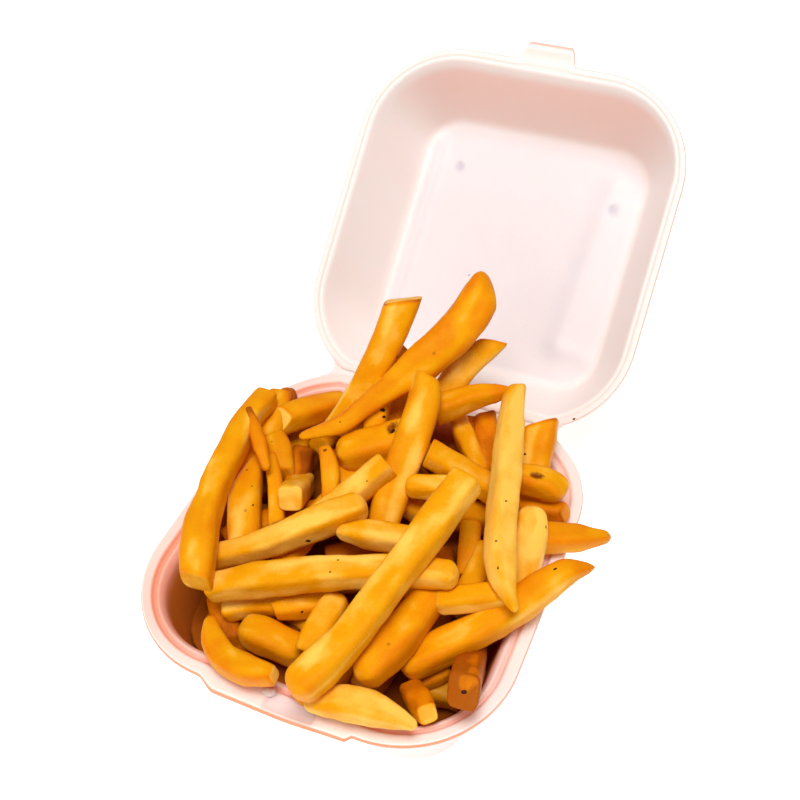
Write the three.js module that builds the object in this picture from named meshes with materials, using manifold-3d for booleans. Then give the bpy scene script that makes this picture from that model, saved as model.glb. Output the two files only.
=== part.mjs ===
// Thick-cut french fries heaped in an open, hinged foam takeaway box.
// Millimetres, +Z up. X runs along the hinge, +Y points from the box's front to its lid,
// and the origin is the middle of the base's underside, where the box stands.
import * as THREE from "three";
import { mergeVertices } from "three/addons/utils/BufferGeometryUtils.js";
import Module from "manifold-3d";

const wasm = await Module();
wasm.setup();

// ---- Driving dimensions: the box ----
const BOX_WIDTH = 140; // rim to rim, along the hinge
const BOX_REACH = 146; // from the hinge line to the front edge, the same in both halves
const HALF_HEIGHT = 43; // underside to rim
const FOAM = 2.2; // thickness of the moulded foam
const WALL_RUN = 18.2; // how far a wall leans in between the rim's edge and the floor
const RIM_CORNER = 41; // corner radius of the rim's outline
const FLOOR_CORNER = 16; // corner radius of the floor's outline
const FLOOR_FILLET = 5; // soft bend between a wall and the floor
const LID_OPEN = 140; // degrees the lid is swung back from shut

// The base's rim: a flat band, a groove that seats the lid, and a low ledge inside it.
const BAND = 4.6;
const GROOVE_DEPTH = 1.3;
const LEDGE_END = 8.6;

// The lid's rim: a narrow band and one small step.
const LID_BAND = 2.4;
const LID_STEP = 0.9;

// The living hinge: the two rims run into each other, so their corners are cut by the hinge line.
const HINGE_CUT = 3.6; // how much of each rounded outline lies past the hinge line
const HINGE_GAP = 1; // from the hinge line to the foam of each half
const HINGE_WEB = 1.1; // diameter of the pinched strip on the hinge line
const HINGE_LENGTH = 88;

// The latch: a tab on the lid's front edge and the lip that it hooks under.
const LATCH_CENTRE = 2.5; // beside the middle, in X
const TAB_ROOT = 25;
const TAB_TIP = 18;
const TAB_OUT = 8;
const LIP_LENGTH = 50;
const LIP_OUT = 4;
const LATCH_FOAM = 1.8;
const SLOT_WIDTH = 2.6; // the slot in the lip, a little longer than the tab's root
const SLOT_DEPTH = 1.2;
const SLOT_PLAY = 2;

// ---- Driving dimensions: the fries ----
const FRY = 11.5; // side of a fry's rounded square section
const HEAP_CLEARANCE = 0.4; // between the heap and the foam
const HEAP_EDGE = -9; // where the mound meets the wall, measured from the rim
const HEAP_RISE = 21; // from there to the mound's top
const HEAP_TOP = { x: 4, y: 16 }; // the mound's top lies towards the lid
const HEAP_SEED = 7;

const RIM = HALF_HEIGHT; // height of the rim plane
const HINGE_Y = BOX_REACH / 2;
const CORNER_STEPS = 7; // straight pieces in each rounded corner

// ---- Solids from rings of points ----

// A closed surface through rings of equal length, each end closed by a fan. The rings run
// anticlockwise seen from outside the last one.
function loft(rings) {
  const count = rings[0].length;
  const points = rings.flat();
  const index = [];
  for (let r = 0; r + 1 < rings.length; r++) {
    for (let i = 0; i < count; i++) {
      const a = r * count + i;
      const b = r * count + ((i + 1) % count);
      index.push(a, b, b + count, a, b + count, a + count);
    }
  }
  [rings[0], rings.at(-1)].forEach((ring, end) => {
    const first = end === 0 ? 0 : (rings.length - 1) * count;
    const middle = new THREE.Vector3();
    ring.forEach((p) => middle.addScaledVector(p, 1 / count));
    points.push(middle);
    for (let i = 0; i < count; i++) {
      const a = first + i;
      const b = first + ((i + 1) % count);
      index.push(points.length - 1, ...(end === 0 ? [b, a] : [a, b]));
    }
  });
  return new THREE.BufferGeometry().setFromPoints(points).setIndex(index);
}

function solid(geometry) {
  const bare = new THREE.BufferGeometry();
  bare.setAttribute("position", geometry.getAttribute("position"));
  bare.setIndex(geometry.index);
  const merged = mergeVertices(bare, 1e-4);
  return new wasm.Manifold(
    new wasm.Mesh({
      numProp: 3,
      vertProperties: merged.getAttribute("position").array,
      triVerts: new Uint32Array(merged.index.array),
    }),
  );
}

function geometryOf(manifold) {
  const mesh = manifold.getMesh();
  const geometry = new THREE.BufferGeometry();
  geometry.setAttribute("position", new THREE.BufferAttribute(mesh.vertProperties, 3));
  geometry.setIndex(new THREE.BufferAttribute(mesh.triVerts, 1));
  geometry.computeVertexNormals();
  return geometry;
}

// ---- The box ----
// Each half is made with the hinge line on Y = 0, its front at +Y and its rim plane on Z = 0.

// Outline of a half, this far in from the rim's edge.
function outline(inset, z) {
  const inward = inset / WALL_RUN;
  const corner = RIM_CORNER + (FLOOR_CORNER - RIM_CORNER) * inward;
  const cut = Math.max(0, HINGE_CUT * (1 - inward));
  const side = BOX_WIDTH / 2 - inset;
  const front = BOX_REACH - inset;
  const back = HINGE_GAP + inset;
  const backAngle = Math.asin(1 - cut / corner);
  const ring = [];
  const arc = (x, y, from, to) => {
    for (let i = 0; i <= CORNER_STEPS; i++) {
      const angle = from + ((to - from) * i) / CORNER_STEPS;
      ring.push(new THREE.Vector3(x + corner * Math.cos(angle), y + corner * Math.sin(angle), z));
    }
  };
  const x = side - corner;
  const backY = back - cut + corner;
  arc(x, backY, -backAngle, 0);
  arc(x, front - corner, 0, Math.PI / 2);
  arc(-x, front - corner, Math.PI / 2, Math.PI);
  arc(-x, backY, Math.PI, Math.PI + backAngle);
  return ring;
}

// Profile of a half's inside as [inset from the rim's edge, height], from the rim to the floor.
function insideProfile(rimSteps) {
  const floor = FOAM - HALF_HEIGHT;
  const [wallTopInset, wallTopHeight] = rimSteps.at(-1);
  const slope = new THREE.Vector2(WALL_RUN - wallTopInset, floor - wallTopHeight).normalize();
  const bend = [];
  for (const step of [0, 0.35, 0.7, 1]) {
    const down = (1 - step) ** 2;
    const inwards = step ** 2;
    bend.push([
      WALL_RUN - slope.x * FLOOR_FILLET * down + FLOOR_FILLET * inwards,
      floor - slope.y * FLOOR_FILLET * down,
    ]);
  }
  return [...rimSteps, ...bend, [WALL_RUN + 2 * FLOOR_FILLET, floor]];
}

// The same profile moved square to itself, out of the hollow when distance is positive.
function offsetProfile(profile, distance) {
  const points = profile.map(([inset, height]) => new THREE.Vector2(inset, height));
  const squareTo = (a, b) => {
    const along = b.clone().sub(a).normalize();
    return new THREE.Vector2(along.y, -along.x);
  };
  return points.map((p, i) => {
    const before = squareTo(points[Math.max(i - 1, 0)], points[Math.max(i, 1)]);
    const after = squareTo(points[Math.min(i, points.length - 2)], points[Math.min(i + 1, points.length - 1)]);
    const mitre = before.clone().add(after).normalize();
    const reach = distance / Math.max(mitre.dot(after), 0.6);
    return [p.x + mitre.x * reach, p.y + mitre.y * reach];
  });
}

function halfShell(profile) {
  const outside = offsetProfile(profile, FOAM).reverse();
  return loft([...outside, ...profile].map(([inset, height]) => outline(Math.max(inset, 0), height)));
}

// A flat plate with this outline, its top on Z = top.
function plate(points, top) {
  const shape = new THREE.Shape(points.map(([x, y]) => new THREE.Vector2(x, y)));
  const geometry = new THREE.ExtrudeGeometry(shape, { depth: LATCH_FOAM, bevelEnabled: false });
  return geometry.translate(0, 0, top - LATCH_FOAM);
}

// A plate that starts inside the rim and narrows to its tip, with both tip corners taken off.
function latchPlate(root, tip, out, centre, top) {
  const chamfer = Math.min(2, out / 3);
  const behind = BOX_REACH - BAND / 2;
  const edge = BOX_REACH + out;
  return plate(
    [
      [centre - root / 2, behind],
      [centre + root / 2, behind],
      [centre + tip / 2, edge - chamfer],
      [centre + tip / 2 - chamfer, edge],
      [centre - tip / 2 + chamfer, edge],
      [centre - tip / 2, edge - chamfer],
    ],
    top,
  );
}

const baseRimSteps = [
  [0, 0],
  [BAND, 0],
  [BAND + 0.8, -GROOVE_DEPTH],
  [BAND + 1.9, -GROOVE_DEPTH + 0.3],
  [LEDGE_END, -GROOVE_DEPTH],
  [LEDGE_END + 0.9, -3.2],
];
const lidRimSteps = [
  [0, 0],
  [LID_BAND, 0],
  [LID_BAND + 0.7, -LID_STEP],
  [LID_BAND + 2, -LID_STEP - 0.6],
];
const baseProfile = insideProfile(baseRimSteps);
const lidProfile = insideProfile(lidRimSteps);

// The base is turned so that its front faces -Y, which swaps left and right.
function makeBase() {
  const lip = latchPlate(LIP_LENGTH, LIP_LENGTH - 5, LIP_OUT, -LATCH_CENTRE, -0.2);
  const slot = new THREE.BoxGeometry(TAB_ROOT + SLOT_PLAY, SLOT_WIDTH, 2 * SLOT_DEPTH);
  slot.translate(-LATCH_CENTRE, BOX_REACH - SLOT_WIDTH / 2, 0);
  return geometryOf(solid(halfShell(baseProfile)).add(solid(lip)).subtract(solid(slot)));
}

function makeLid() {
  const tab = latchPlate(TAB_ROOT, TAB_TIP, TAB_OUT, LATCH_CENTRE, -0.1);
  return geometryOf(solid(halfShell(lidProfile)).add(solid(tab)));
}

function makeHingeWeb() {
  const web = new THREE.CylinderGeometry(HINGE_WEB / 2, HINGE_WEB / 2, HINGE_LENGTH, 12);
  return web.rotateZ(Math.PI / 2);
}

// ---- The fries ----

// Height of the mound that the top fries lie on: highest near HEAP_TOP, lowest along the walls.
function moundHeight(x, y) {
  const across = (x - HEAP_TOP.x) / (BOX_WIDTH / 2);
  const along = (y - HEAP_TOP.y) / (BOX_REACH / 2);
  const away = Math.min(1, Math.hypot(across, along) / 1.15);
  return RIM + HEAP_EDGE + HEAP_RISE * (1 - away ** 2);
}

// From a half's own frame to the base as it stands.
function inBase(point) {
  return new THREE.Vector3(-point.x, HINGE_Y - point.y, point.z + RIM);
}

// The base's inside wall and floor, this far clear of the foam, from the floor up.
function insideRings(clearance, firstPoint) {
  const clear = offsetProfile(baseProfile.slice(firstPoint), -clearance).reverse();
  return clear.map(([inset, height]) => outline(inset, height).map(inBase));
}

// What the base leaves free for the heap: its inside, and everything above its rim.
function roomForHeap() {
  const mouth = [-1, 1].map((side) => outline(LEDGE_END + 1, side * 2 * HEAP_CLEARANCE).map(inBase));
  const inside = loft([...insideRings(HEAP_CLEARANCE, baseRimSteps.length - 1), ...mouth]);
  const above = new THREE.BoxGeometry(3 * BOX_WIDTH, 3 * BOX_REACH, 2 * BOX_WIDTH);
  above.translate(0, 0, RIM + HEAP_CLEARANCE + BOX_WIDTH);
  return solid(inside).add(solid(above));
}

// The packed lower part of the heap, up to the mound's surface.
function makeCore() {
  const edge = outline(LEDGE_END + 4, 0).map(inBase);
  const domeRings = [1, 0.8, 0.6, 0.4, 0.2].map((share) =>
    edge.map((p) => new THREE.Vector3(p.x * share, p.y * share, moundHeight(p.x * share, p.y * share))),
  );
  return loft([...insideRings(2 * HEAP_CLEARANCE, baseRimSteps.length), ...domeRings]);
}

// Cross-section of a fry, as shares of its half width: a square with its corners taken off.
const SECTION = [0, 1, 2, 3].flatMap((quarter) =>
  [-0.55, 0.55].map((across) => new THREE.Vector2(1, across).rotateAround(new THREE.Vector2(), (quarter * Math.PI) / 2)),
);

// One fry along a slightly bent line. A cut end keeps most of its width; a pointed one loses it.
function fry({ from, to, width = FRY, bend = 2, pointed = false }) {
  const start = new THREE.Vector3(...from);
  const end = new THREE.Vector3(...to);
  const along = end.clone().sub(start).normalize();
  const aside = new THREE.Vector3(0, 0, 1).cross(along).normalize();
  const up = along.clone().cross(aside);
  const stations = pointed
    ? [[0, 0.6], [0.06, 0.95], [0.5, 1], [0.8, 0.7], [1, 0.12]]
    : [[0, 0.6], [0.05, 0.95], [0.5, 1], [0.95, 0.95], [1, 0.6]];
  return loft(
    stations.map(([t, size]) => {
      const bow = bend * 4 * t * (1 - t);
      const centre = start.clone().lerp(end, t).addScaledVector(aside, bow).addScaledVector(up, bow / 2);
      return SECTION.map((s) =>
        centre
          .clone()
          .addScaledVector(aside, (s.x * size * width) / 2)
          .addScaledVector(up, (s.y * size * width) / 2),
      );
    }),
  );
}

// The fries that stand out of the heap, by the middles of their two ends.
const STANDING_OUT = [
  { from: [8, -63, 50], to: [31, 14, 73], width: 12, bend: -3 }, // the long one across the front
  { from: [61, -15, 55], to: [32, 65, 68], width: 11.5, bend: 2 },
  { from: [-39, -44, 49], to: [40, -14, 59], width: 12, bend: 3 },
  { from: [-44, -30, 51], to: [2, -2, 62], width: 12, bend: -2 },
  { from: [37, -44, 50], to: [80, 6, 56], width: 12, bend: -3, pointed: true }, // tips over the rim
  { from: [40, 2, 56], to: [82, 20, 56], width: 11, bend: 1, pointed: true },
  { from: [-47, -46, 46], to: [-55, -18, 53], width: 12.5, bend: 2 },
  { from: [-54, -22, 54], to: [-61, 22, 57], width: 12.5, bend: 3 },
  { from: [-60, 22, 57], to: [-48, 46, 54], width: 12, bend: 2 },
  { from: [-30, 22, 50], to: [-14, 72, 94], width: 12, bend: -2 }, // the two that stand up at the back
  { from: [-38, 20, 58], to: [9, 84, 96], width: 14, bend: 4 },
  { from: [2, 50, 62], to: [20, 80, 74], width: 11, bend: 1, pointed: true },
  { from: [4, 6, 60], to: [-2, 60, 78], width: 12, bend: 2 },
  { from: [6, 46, 66], to: [32, 58, 68], width: 11, bend: 2 },
  { from: [46, 34, 58], to: [48, 60, 58], width: 12, bend: 1 },
  { from: [16, -64, 44], to: [46, -56, 43], width: 12, bend: 4, pointed: true },
  { from: [24, -52, 47], to: [42, -24, 55], width: 12, bend: 2 },
  { from: [-20, -52, 46], to: [-6, -50, 47], width: 12, bend: 2 },
  { from: [-36, -56, 40], to: [-18, -62, 40], width: 11, bend: -4 },
];

// Even sequence of numbers from 0 to 1 that is the same every time.
function shuffledNumbers(seed) {
  let state = seed;
  return () => {
    state = (state * 16807) % 2147483647;
    return state / 2147483647;
  };
}

// Fries laid on the mound in a sunflower pattern, each turned and sized a little differently.
function fillingFries(count) {
  const random = shuffledNumbers(HEAP_SEED);
  const goldenAngle = Math.PI * (3 - Math.sqrt(5));
  return Array.from({ length: count }, (_, i) => {
    const spread = Math.sqrt((i + 0.5) / count);
    const x = 54 * spread * Math.cos(i * goldenAngle);
    const y = 2 + 57 * spread * Math.sin(i * goldenAngle);
    const turn = Math.PI * random();
    const length = 26 + 30 * random() * (1.2 - spread);
    const width = FRY * (0.85 + 0.25 * random());
    const end = (side) => {
      const endX = x + (side * length * Math.cos(turn)) / 2;
      const endY = y + (side * length * Math.sin(turn)) / 2;
      return [endX, endY, moundHeight(endX, endY) + width * 0.25];
    };
    return { from: end(-1), to: end(1), width, bend: 4 * random() - 2 };
  });
}

function makeHeap() {
  const fries = [...STANDING_OUT, ...fillingFries(28)].map((f) => solid(fry(f)));
  const heap = fries.reduce((joined, one) => joined.add(one), solid(makeCore()));
  // Only the outer skin is kept, so that no air pocket is sealed in between the fries.
  const skins = heap.intersect(roomForHeap()).decompose();
  return geometryOf(skins.reduce((largest, skin) => (skin.volume() > largest.volume() ? skin : largest)));
}

// ---- The part ----
const foam = new THREE.MeshStandardMaterial({ color: 0xf9e9e3, roughness: 0.6, metalness: 0 });
const crust = new THREE.MeshStandardMaterial({ color: 0xf0aa2c, roughness: 0.55, metalness: 0 });

function named(name, geometry, material) {
  const mesh = new THREE.Mesh(geometry, material);
  mesh.name = name;
  return mesh;
}

const part = new THREE.Group();

const baseHalf = new THREE.Group();
baseHalf.position.set(0, HINGE_Y, RIM);
baseHalf.rotation.z = Math.PI;
baseHalf.add(named("base", makeBase(), foam));

const lidHalf = new THREE.Group();
lidHalf.position.set(0, HINGE_Y, RIM);
lidHalf.rotation.x = THREE.MathUtils.degToRad(180 - LID_OPEN);
lidHalf.add(named("lid", makeLid(), foam));

const hingeWeb = named("hinge", makeHingeWeb(), foam);
hingeWeb.position.set(0, HINGE_Y, RIM);

part.add(baseHalf, lidHalf, hingeWeb, named("fries", makeHeap(), crust));

export default part;
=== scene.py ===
# %% [markdown]
# # Thick-cut fries in a foam takeaway box
# The object is a hinged box of thin white foam, lying open, with a tall heap of thick-cut fries in
# its base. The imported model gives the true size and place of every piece. This lesson puts the
# finish on it: smooth foam shells in place of the faceted ones, a creased strip at the hinge, and
# some eighty separate fries over a small dark core.

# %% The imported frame
import math

import bpy
import numpy as np
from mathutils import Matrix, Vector, noise
from mathutils.bvhtree import BVHTree


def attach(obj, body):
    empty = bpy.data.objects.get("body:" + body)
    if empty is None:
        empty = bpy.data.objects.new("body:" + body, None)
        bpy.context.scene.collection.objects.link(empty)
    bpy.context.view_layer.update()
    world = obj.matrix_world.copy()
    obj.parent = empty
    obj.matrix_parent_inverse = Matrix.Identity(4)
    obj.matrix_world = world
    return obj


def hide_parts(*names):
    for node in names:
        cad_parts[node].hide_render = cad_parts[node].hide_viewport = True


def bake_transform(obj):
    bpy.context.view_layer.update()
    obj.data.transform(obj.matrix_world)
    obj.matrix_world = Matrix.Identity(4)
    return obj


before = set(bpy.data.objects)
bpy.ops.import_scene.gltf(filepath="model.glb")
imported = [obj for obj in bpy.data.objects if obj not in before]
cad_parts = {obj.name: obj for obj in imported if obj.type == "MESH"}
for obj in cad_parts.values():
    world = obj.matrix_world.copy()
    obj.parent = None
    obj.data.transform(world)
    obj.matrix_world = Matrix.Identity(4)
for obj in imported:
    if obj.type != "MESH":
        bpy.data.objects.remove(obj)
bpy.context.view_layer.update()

MM = 0.001  # sizes are written in millimetres and made metres here

# %% [markdown]
# ## Camera
# The camera stands in front of the box, to its right, and looks down at about 46 degrees. A lens
# near 46 mm keeps the box's two halves in their true proportions. The same numbers are kept by
# name, because the heap is laid out later in this view.

# %% Camera
SENSOR = 36.0  # mm
FRAME_SIDE = 800  # the picture is square, in pixels
LENS = 46.08  # mm
EYE = np.array((112.5, -195.2, 349.4))  # mm
EYE_TURN = (0.760, 0.040, 0.414)  # radians, XYZ

camera_data = bpy.data.cameras.new("camera")
camera_data.lens = LENS
camera_data.sensor_width = SENSOR
camera_data.clip_start = 0.01
camera = bpy.data.objects.new("camera", camera_data)
camera.location = EYE * MM
camera.rotation_euler = EYE_TURN
bpy.context.scene.collection.objects.link(camera)
bpy.context.scene.camera = camera
print("camera", LENS, "mm at", tuple(camera.location))

# %% [markdown]
# ## Node helpers
# Shader and geometry trees are built by a few short helpers: add a node, set what it holds, and
# link it to its inputs. The ones after them stand for nodes that come up again and again.

# %% Node helpers


def connect(tree, node, name, value):
    """Feeds the input with this name, or with this number, from a socket or with a value."""
    socket = node.inputs[name]
    if isinstance(value, bpy.types.NodeSocket):
        tree.links.new(value, socket)
    else:
        socket.default_value = value


def add(tree, kind, settings=None, **inputs):
    """A node of this kind. settings are its own options, inputs are sockets or plain values."""
    node = tree.nodes.new(kind)
    for key, value in (settings or {}).items():
        setattr(node, key, value)
    for key, value in inputs.items():
        connect(tree, node, key.replace("_", " "), value)
    return node

# %% Nodes that come up often
MIX_INPUTS = (0, 6, 7)  # a mix node's share and its two colours


def maths(tree, operation, first, second=0.0, clamp=False):
    node = add(tree, "ShaderNodeMath", {"operation": operation, "use_clamp": clamp})
    connect(tree, node, 0, first)
    connect(tree, node, 1, second)
    return node.outputs[0]


def plus(tree, total, value, much):
    """total + value * much."""
    return maths(tree, "ADD", total, maths(tree, "MULTIPLY", value, much))


def centred(tree, value):
    """A noise's value, moved so that it is as often below zero as above."""
    return maths(tree, "SUBTRACT", value, 0.5)


def ramp(tree, value, low, high):
    """0 where value is low, 1 where it is high, smooth between."""
    settings = {"interpolation_type": "SMOOTHSTEP", "clamp": True}
    return add(tree, "ShaderNodeMapRange", settings, Value=value, From_Min=low, From_Max=high).outputs[0]


def blend_colours(tree, share, first, second):
    node = add(tree, "ShaderNodeMix", {"data_type": "RGBA"})
    for number, value in zip(MIX_INPUTS, (share, first, second)):
        connect(tree, node, number, value)
    return node.outputs[2]


def own_place(tree):
    return tree.nodes.new("ShaderNodeTexCoord").outputs["Object"]


def soft_noise(tree, place, scale, detail=2.0):
    return add(tree, "ShaderNodeTexNoise", Vector=place, Scale=scale, Detail=detail).outputs["Fac"]


def brought(tree, name, output="Fac"):
    """A value that the mesh brings for each of its points."""
    return add(tree, "ShaderNodeAttribute", {"attribute_name": name}).outputs[output]

# %% Materials and groups
BUMP_STRENGTH = 0.6


def new_material(name, **inputs):
    """A material, its tree and its shader, with these of the shader's inputs set."""
    material = bpy.data.materials.new(name)
    material.use_nodes = True
    tree = material.node_tree
    shader = tree.nodes["Principled BSDF"]
    for key, value in inputs.items():
        connect(tree, shader, key.replace("_", " "), value)
    return material, tree, shader


def add_bump(tree, shader, height, distance):
    bump = add(tree, "ShaderNodeBump", Strength=BUMP_STRENGTH, Distance=distance, Height=height)
    connect(tree, shader, "Normal", bump.outputs["Normal"])


def new_group(name, kind, inputs, outputs):
    """An empty node group with named sockets: (name, socket type, default)."""
    tree = bpy.data.node_groups.new(name, kind)
    for label, socket_type, default in inputs:
        socket = tree.interface.new_socket(label, in_out="INPUT", socket_type=socket_type)
        if default is not None:
            socket.default_value = default
    for label, socket_type in outputs:
        tree.interface.new_socket(label, in_out="OUTPUT", socket_type=socket_type)
    return tree, tree.nodes.new("NodeGroupInput").outputs, tree.nodes.new("NodeGroupOutput").inputs

# %% [markdown]
# ## Studio
# A pale floor and soft light from above keep the foam almost white. The main light is a wide one,
# high over the front of the box, so that each fry is bright on top and deeper in colour on the
# side that faces the viewer. The sky is slightly warm and fills the shadows.

# %% Studio
FLOOR_SIDE = 8.0  # m
KEY_PLACE = (0.11, -0.20, 1.03)
KEY_SIZE = 0.45
KEY_WATTS = 8.3
FILL_PLACE = (-0.40, -0.90, 0.65)
FILL_SIZE = 0.9
FILL_WATTS = 2.7
SKY = (1.0, 0.93, 0.89, 1)
SKY_STRENGTH = 0.34
FLOOR_GLOW = 0.5
FLOOR_DROP = 0.0003  # m, the floor lies this far under the box
AIM = (0, 0.03, 0.04)


def area_light(name, place, side, watts, colour=(1, 1, 1)):
    data = bpy.data.lights.new(name, "AREA")
    data.shape = "DISK"
    data.size = side
    data.energy = watts
    data.color = colour
    light = bpy.data.objects.new(name, data)
    light.location = place
    towards = Vector(AIM) - Vector(place)
    light.rotation_euler = towards.to_track_quat("-Z", "Y").to_euler()
    bpy.context.scene.collection.objects.link(light)


area_light("key", KEY_PLACE, KEY_SIZE, KEY_WATTS)
area_light("fill", FILL_PLACE, FILL_SIZE, FILL_WATTS, (1.0, 0.96, 0.93))

world = bpy.data.worlds.new("sky")
world.use_nodes = True
background = world.node_tree.nodes["Background"]
connect(world.node_tree, background, "Color", SKY)
connect(world.node_tree, background, "Strength", SKY_STRENGTH)
bpy.context.scene.world = world
bpy.context.scene.view_settings.view_transform = "Standard"

floor_material = new_material(
    "pale floor",
    Base_Color=(0.93, 0.925, 0.92, 1),
    Roughness=0.8,
    Emission_Color=(1.0, 0.97, 0.95, 1),
    Emission_Strength=FLOOR_GLOW,
)[0]
half_floor = FLOOR_SIDE / 2
floor_mesh = bpy.data.meshes.new("floor")
floor_corners = [(-1, -1), (1, -1), (1, 1), (-1, 1)]
floor_points = [(x * half_floor, y * half_floor, -FLOOR_DROP) for x, y in floor_corners]
floor_mesh.from_pydata(floor_points, [], [(0, 1, 2, 3)])
floor_mesh.materials.append(floor_material)
floor = bpy.data.objects.new("floor", floor_mesh)
bpy.context.scene.collection.objects.link(floor)
print("floor", FLOOR_SIDE, "m square, two soft lights")

# %% [markdown]
# ## Foam
# The box is pressed from a sheet of foamed plastic. It is white with a warm, slightly pink cast,
# satin rather than glossy, and a little light passes into it. A fine grain of tiny cells shows in
# the highlights, and broad faint clouds keep the large panels from looking like paint. Three values
# of the mesh paint shade into its colour. The first makes it pinker at the cut edges, in the
# grooves, down the walls and where the orange light of the fries falls on it. The second browns
# the base's inner wall where the heap shades it. The third greys the lid's panel, its dimples and
# the base's slot.

# %% Foam material
FOAM_WHITE = (0.92, 0.845, 0.815, 1)
# the pink of painted shade and orange bounce on the foam, and the tint of its warm clouds
FOAM_WARM = (0.90, 0.44, 0.33, 1)
# the brown of painted shade down the base's inner wall
FOAM_BROWN_SHADE = (0.60, 0.19, 0.010, 1)
# the grey of painted shade on the lid's panel, its dimples and the base's slot
FOAM_GREY_SHADE = (0.56, 0.545, 0.60, 1)
CELL_SIZE = 0.55  # mm, the foam's cells
CLOUD_SCALE = 22.0
CLOUD_TINT = 0.05  # how warm the clouds are
CLOUD_HEIGHT = 3.0  # as a share of a cell's
FOAM_ROUGH = 0.40
ROUGH_CHANGE = 0.12
FOAM_BUMP = 0.00006


def foam_material():
    material, tree, shader = new_material(
        "white foam",
        Subsurface_Weight=0.3,
        Subsurface_Radius=(1.0, 0.55, 0.45),
        Subsurface_Scale=0.005,
        Specular_IOR_Level=0.35,
    )
    place = own_place(tree)
    clouds = soft_noise(tree, place, CLOUD_SCALE, 3.0)
    cells = add(tree, "ShaderNodeTexVoronoi", Vector=place, Scale=1 / (CELL_SIZE * MM)).outputs["Distance"]
    cloudy = maths(tree, "MULTIPLY", ramp(tree, clouds, 0.42, 0.70), CLOUD_TINT)
    # painted shade: pinker where the first value says so, and in the warm clouds
    cloud_and_shade = maths(tree, "MAXIMUM", cloudy, brought(tree, "edge"))
    colour = blend_colours(tree, cloud_and_shade, FOAM_WHITE, FOAM_WARM)
    # painted shade: browner down the base's inner wall
    colour = blend_colours(tree, brought(tree, "oily"), colour, FOAM_BROWN_SHADE)
    # painted shade: grey on the lid's panel, its dimples and the slot
    colour = blend_colours(tree, brought(tree, "grey"), colour, FOAM_GREY_SHADE)
    connect(tree, shader, "Base Color", colour)
    connect(tree, shader, "Roughness", plus(tree, FOAM_ROUGH, clouds, ROUGH_CHANGE))
    add_bump(tree, shader, plus(tree, cells, clouds, CLOUD_HEIGHT), FOAM_BUMP)
    return material


white_foam = foam_material()
print("foam material with", len(white_foam.node_tree.nodes), "nodes")

# %% [markdown]
# ## The two halves of the box
# Both halves are one pressed sheet each: an outline that is a rounded rectangle, cut off by the
# hinge line, and a profile that runs from the rim down the leaning wall to the panel. So each
# half is a stack of closed rings, one ring for each point of the profile. The profile is first
# drawn with sharp corners and then eased, which gives the soft bends of pressed foam.

# %% Outline of a half
WIDTH = 140.0  # mm, rim to rim along the hinge
REACH = 146.0  # from the hinge line to the front edge
HEIGHT = 43.0  # underside to rim
FOAM = 2.2  # thickness of the sheet
WALL_RUN = 18.2  # how far a wall leans in, rim to panel
RIM_CORNER = 41.0
PANEL_CORNER = 16.0
HINGE_CUT = 3.6  # how much of the outline lies past the hinge line
HINGE_GAP = 1.0
CORNER_STEPS = 22
FRONT_STEPS = 84
SIDE_STEPS = 26

HINGE_Y = 73.0
RIM_Z = 43.0
LID_TILT = math.radians(40)  # the lid's rim plane, above level


def arc(x, y, radius, start, end, steps):
    angles = np.linspace(start, end, steps)
    return np.stack((x + radius * np.cos(angles), y + radius * np.sin(angles)), 1)


def straight(a, b, steps):
    """Points between a and b, without the two ends."""
    t = np.linspace(0, 1, steps + 2)[1:-1, None]
    return a * (1 - t) + b * t


def outline(inset):
    """A half's outline, this far in from the rim's edge: hinge along y = 0, front at +y."""
    inward = min(max(inset / WALL_RUN, 0.0), 1.0)
    beyond = max(inset - WALL_RUN, 0.0)
    corner = RIM_CORNER + (PANEL_CORNER - RIM_CORNER) * inward - 0.6 * beyond
    cut = HINGE_CUT * (1 - inward)
    back_angle = math.asin(1 - cut / corner)
    x = WIDTH / 2 - inset - corner
    front_y = REACH - inset - corner
    back_y = HINGE_GAP + inset - cut + corner
    right_back = arc(x, back_y, corner, -back_angle, 0, CORNER_STEPS)
    right_front = arc(x, front_y, corner, 0, math.pi / 2, CORNER_STEPS)
    left_front = arc(-x, front_y, corner, math.pi / 2, math.pi, CORNER_STEPS)
    left_back = arc(-x, back_y, corner, math.pi, math.pi + back_angle, CORNER_STEPS)
    return np.concatenate(
        (
            right_back,
            straight(right_back[-1], right_front[0], SIDE_STEPS),
            right_front,
            straight(right_front[-1], left_front[0], FRONT_STEPS),
            left_front,
            straight(left_front[-1], left_back[0], SIDE_STEPS),
            left_back,
            straight(left_back[-1], right_back[0], FRONT_STEPS),
        )
    )


print("outline of", len(outline(0)), "points")

# %% Profile of a half
BAND = 4.6
BASE_RIM = [(0, 0), (BAND - 0.2, 0), (5.5, -1.9), (6.8, -0.5), (8.3, -1.7), (9.5, -3.6)]
LID_RIM = [(0, 0), (2.4, 0), (3.1, -0.95), (4.0, -0.8), (4.9, -1.9)]
PANEL_BEND = 5.0  # radius of the bend between wall and panel
EASE_STEPS = 5


def eased(points, radii):
    """The line through points with each inner corner turned into a short curve."""
    line = [points[0]]
    for before, here, after, radius in zip(points, points[1:], points[2:], radii[1:]):
        arm_in = min(radius, 0.48 * np.linalg.norm(here - before))
        arm_out = min(radius, 0.48 * np.linalg.norm(after - here))
        start = here + (before - here) / np.linalg.norm(before - here) * arm_in
        end = here + (after - here) / np.linalg.norm(after - here) * arm_out
        for t in np.linspace(0, 1, EASE_STEPS):
            line.append(start * (1 - t) ** 2 + here * 2 * t * (1 - t) + end * t**2)
    line.append(points[-1])
    return np.array(line)


def subdivided(line, longest):
    """The same line with no stretch longer than this."""
    result = [line[0]]
    for a, b in zip(line, line[1:]):
        pieces = max(1, int(math.ceil(np.linalg.norm(b - a) / longest)))
        result.extend(a + (b - a) * (i + 1) / pieces for i in range(pieces))
    return np.array(result)


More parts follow.
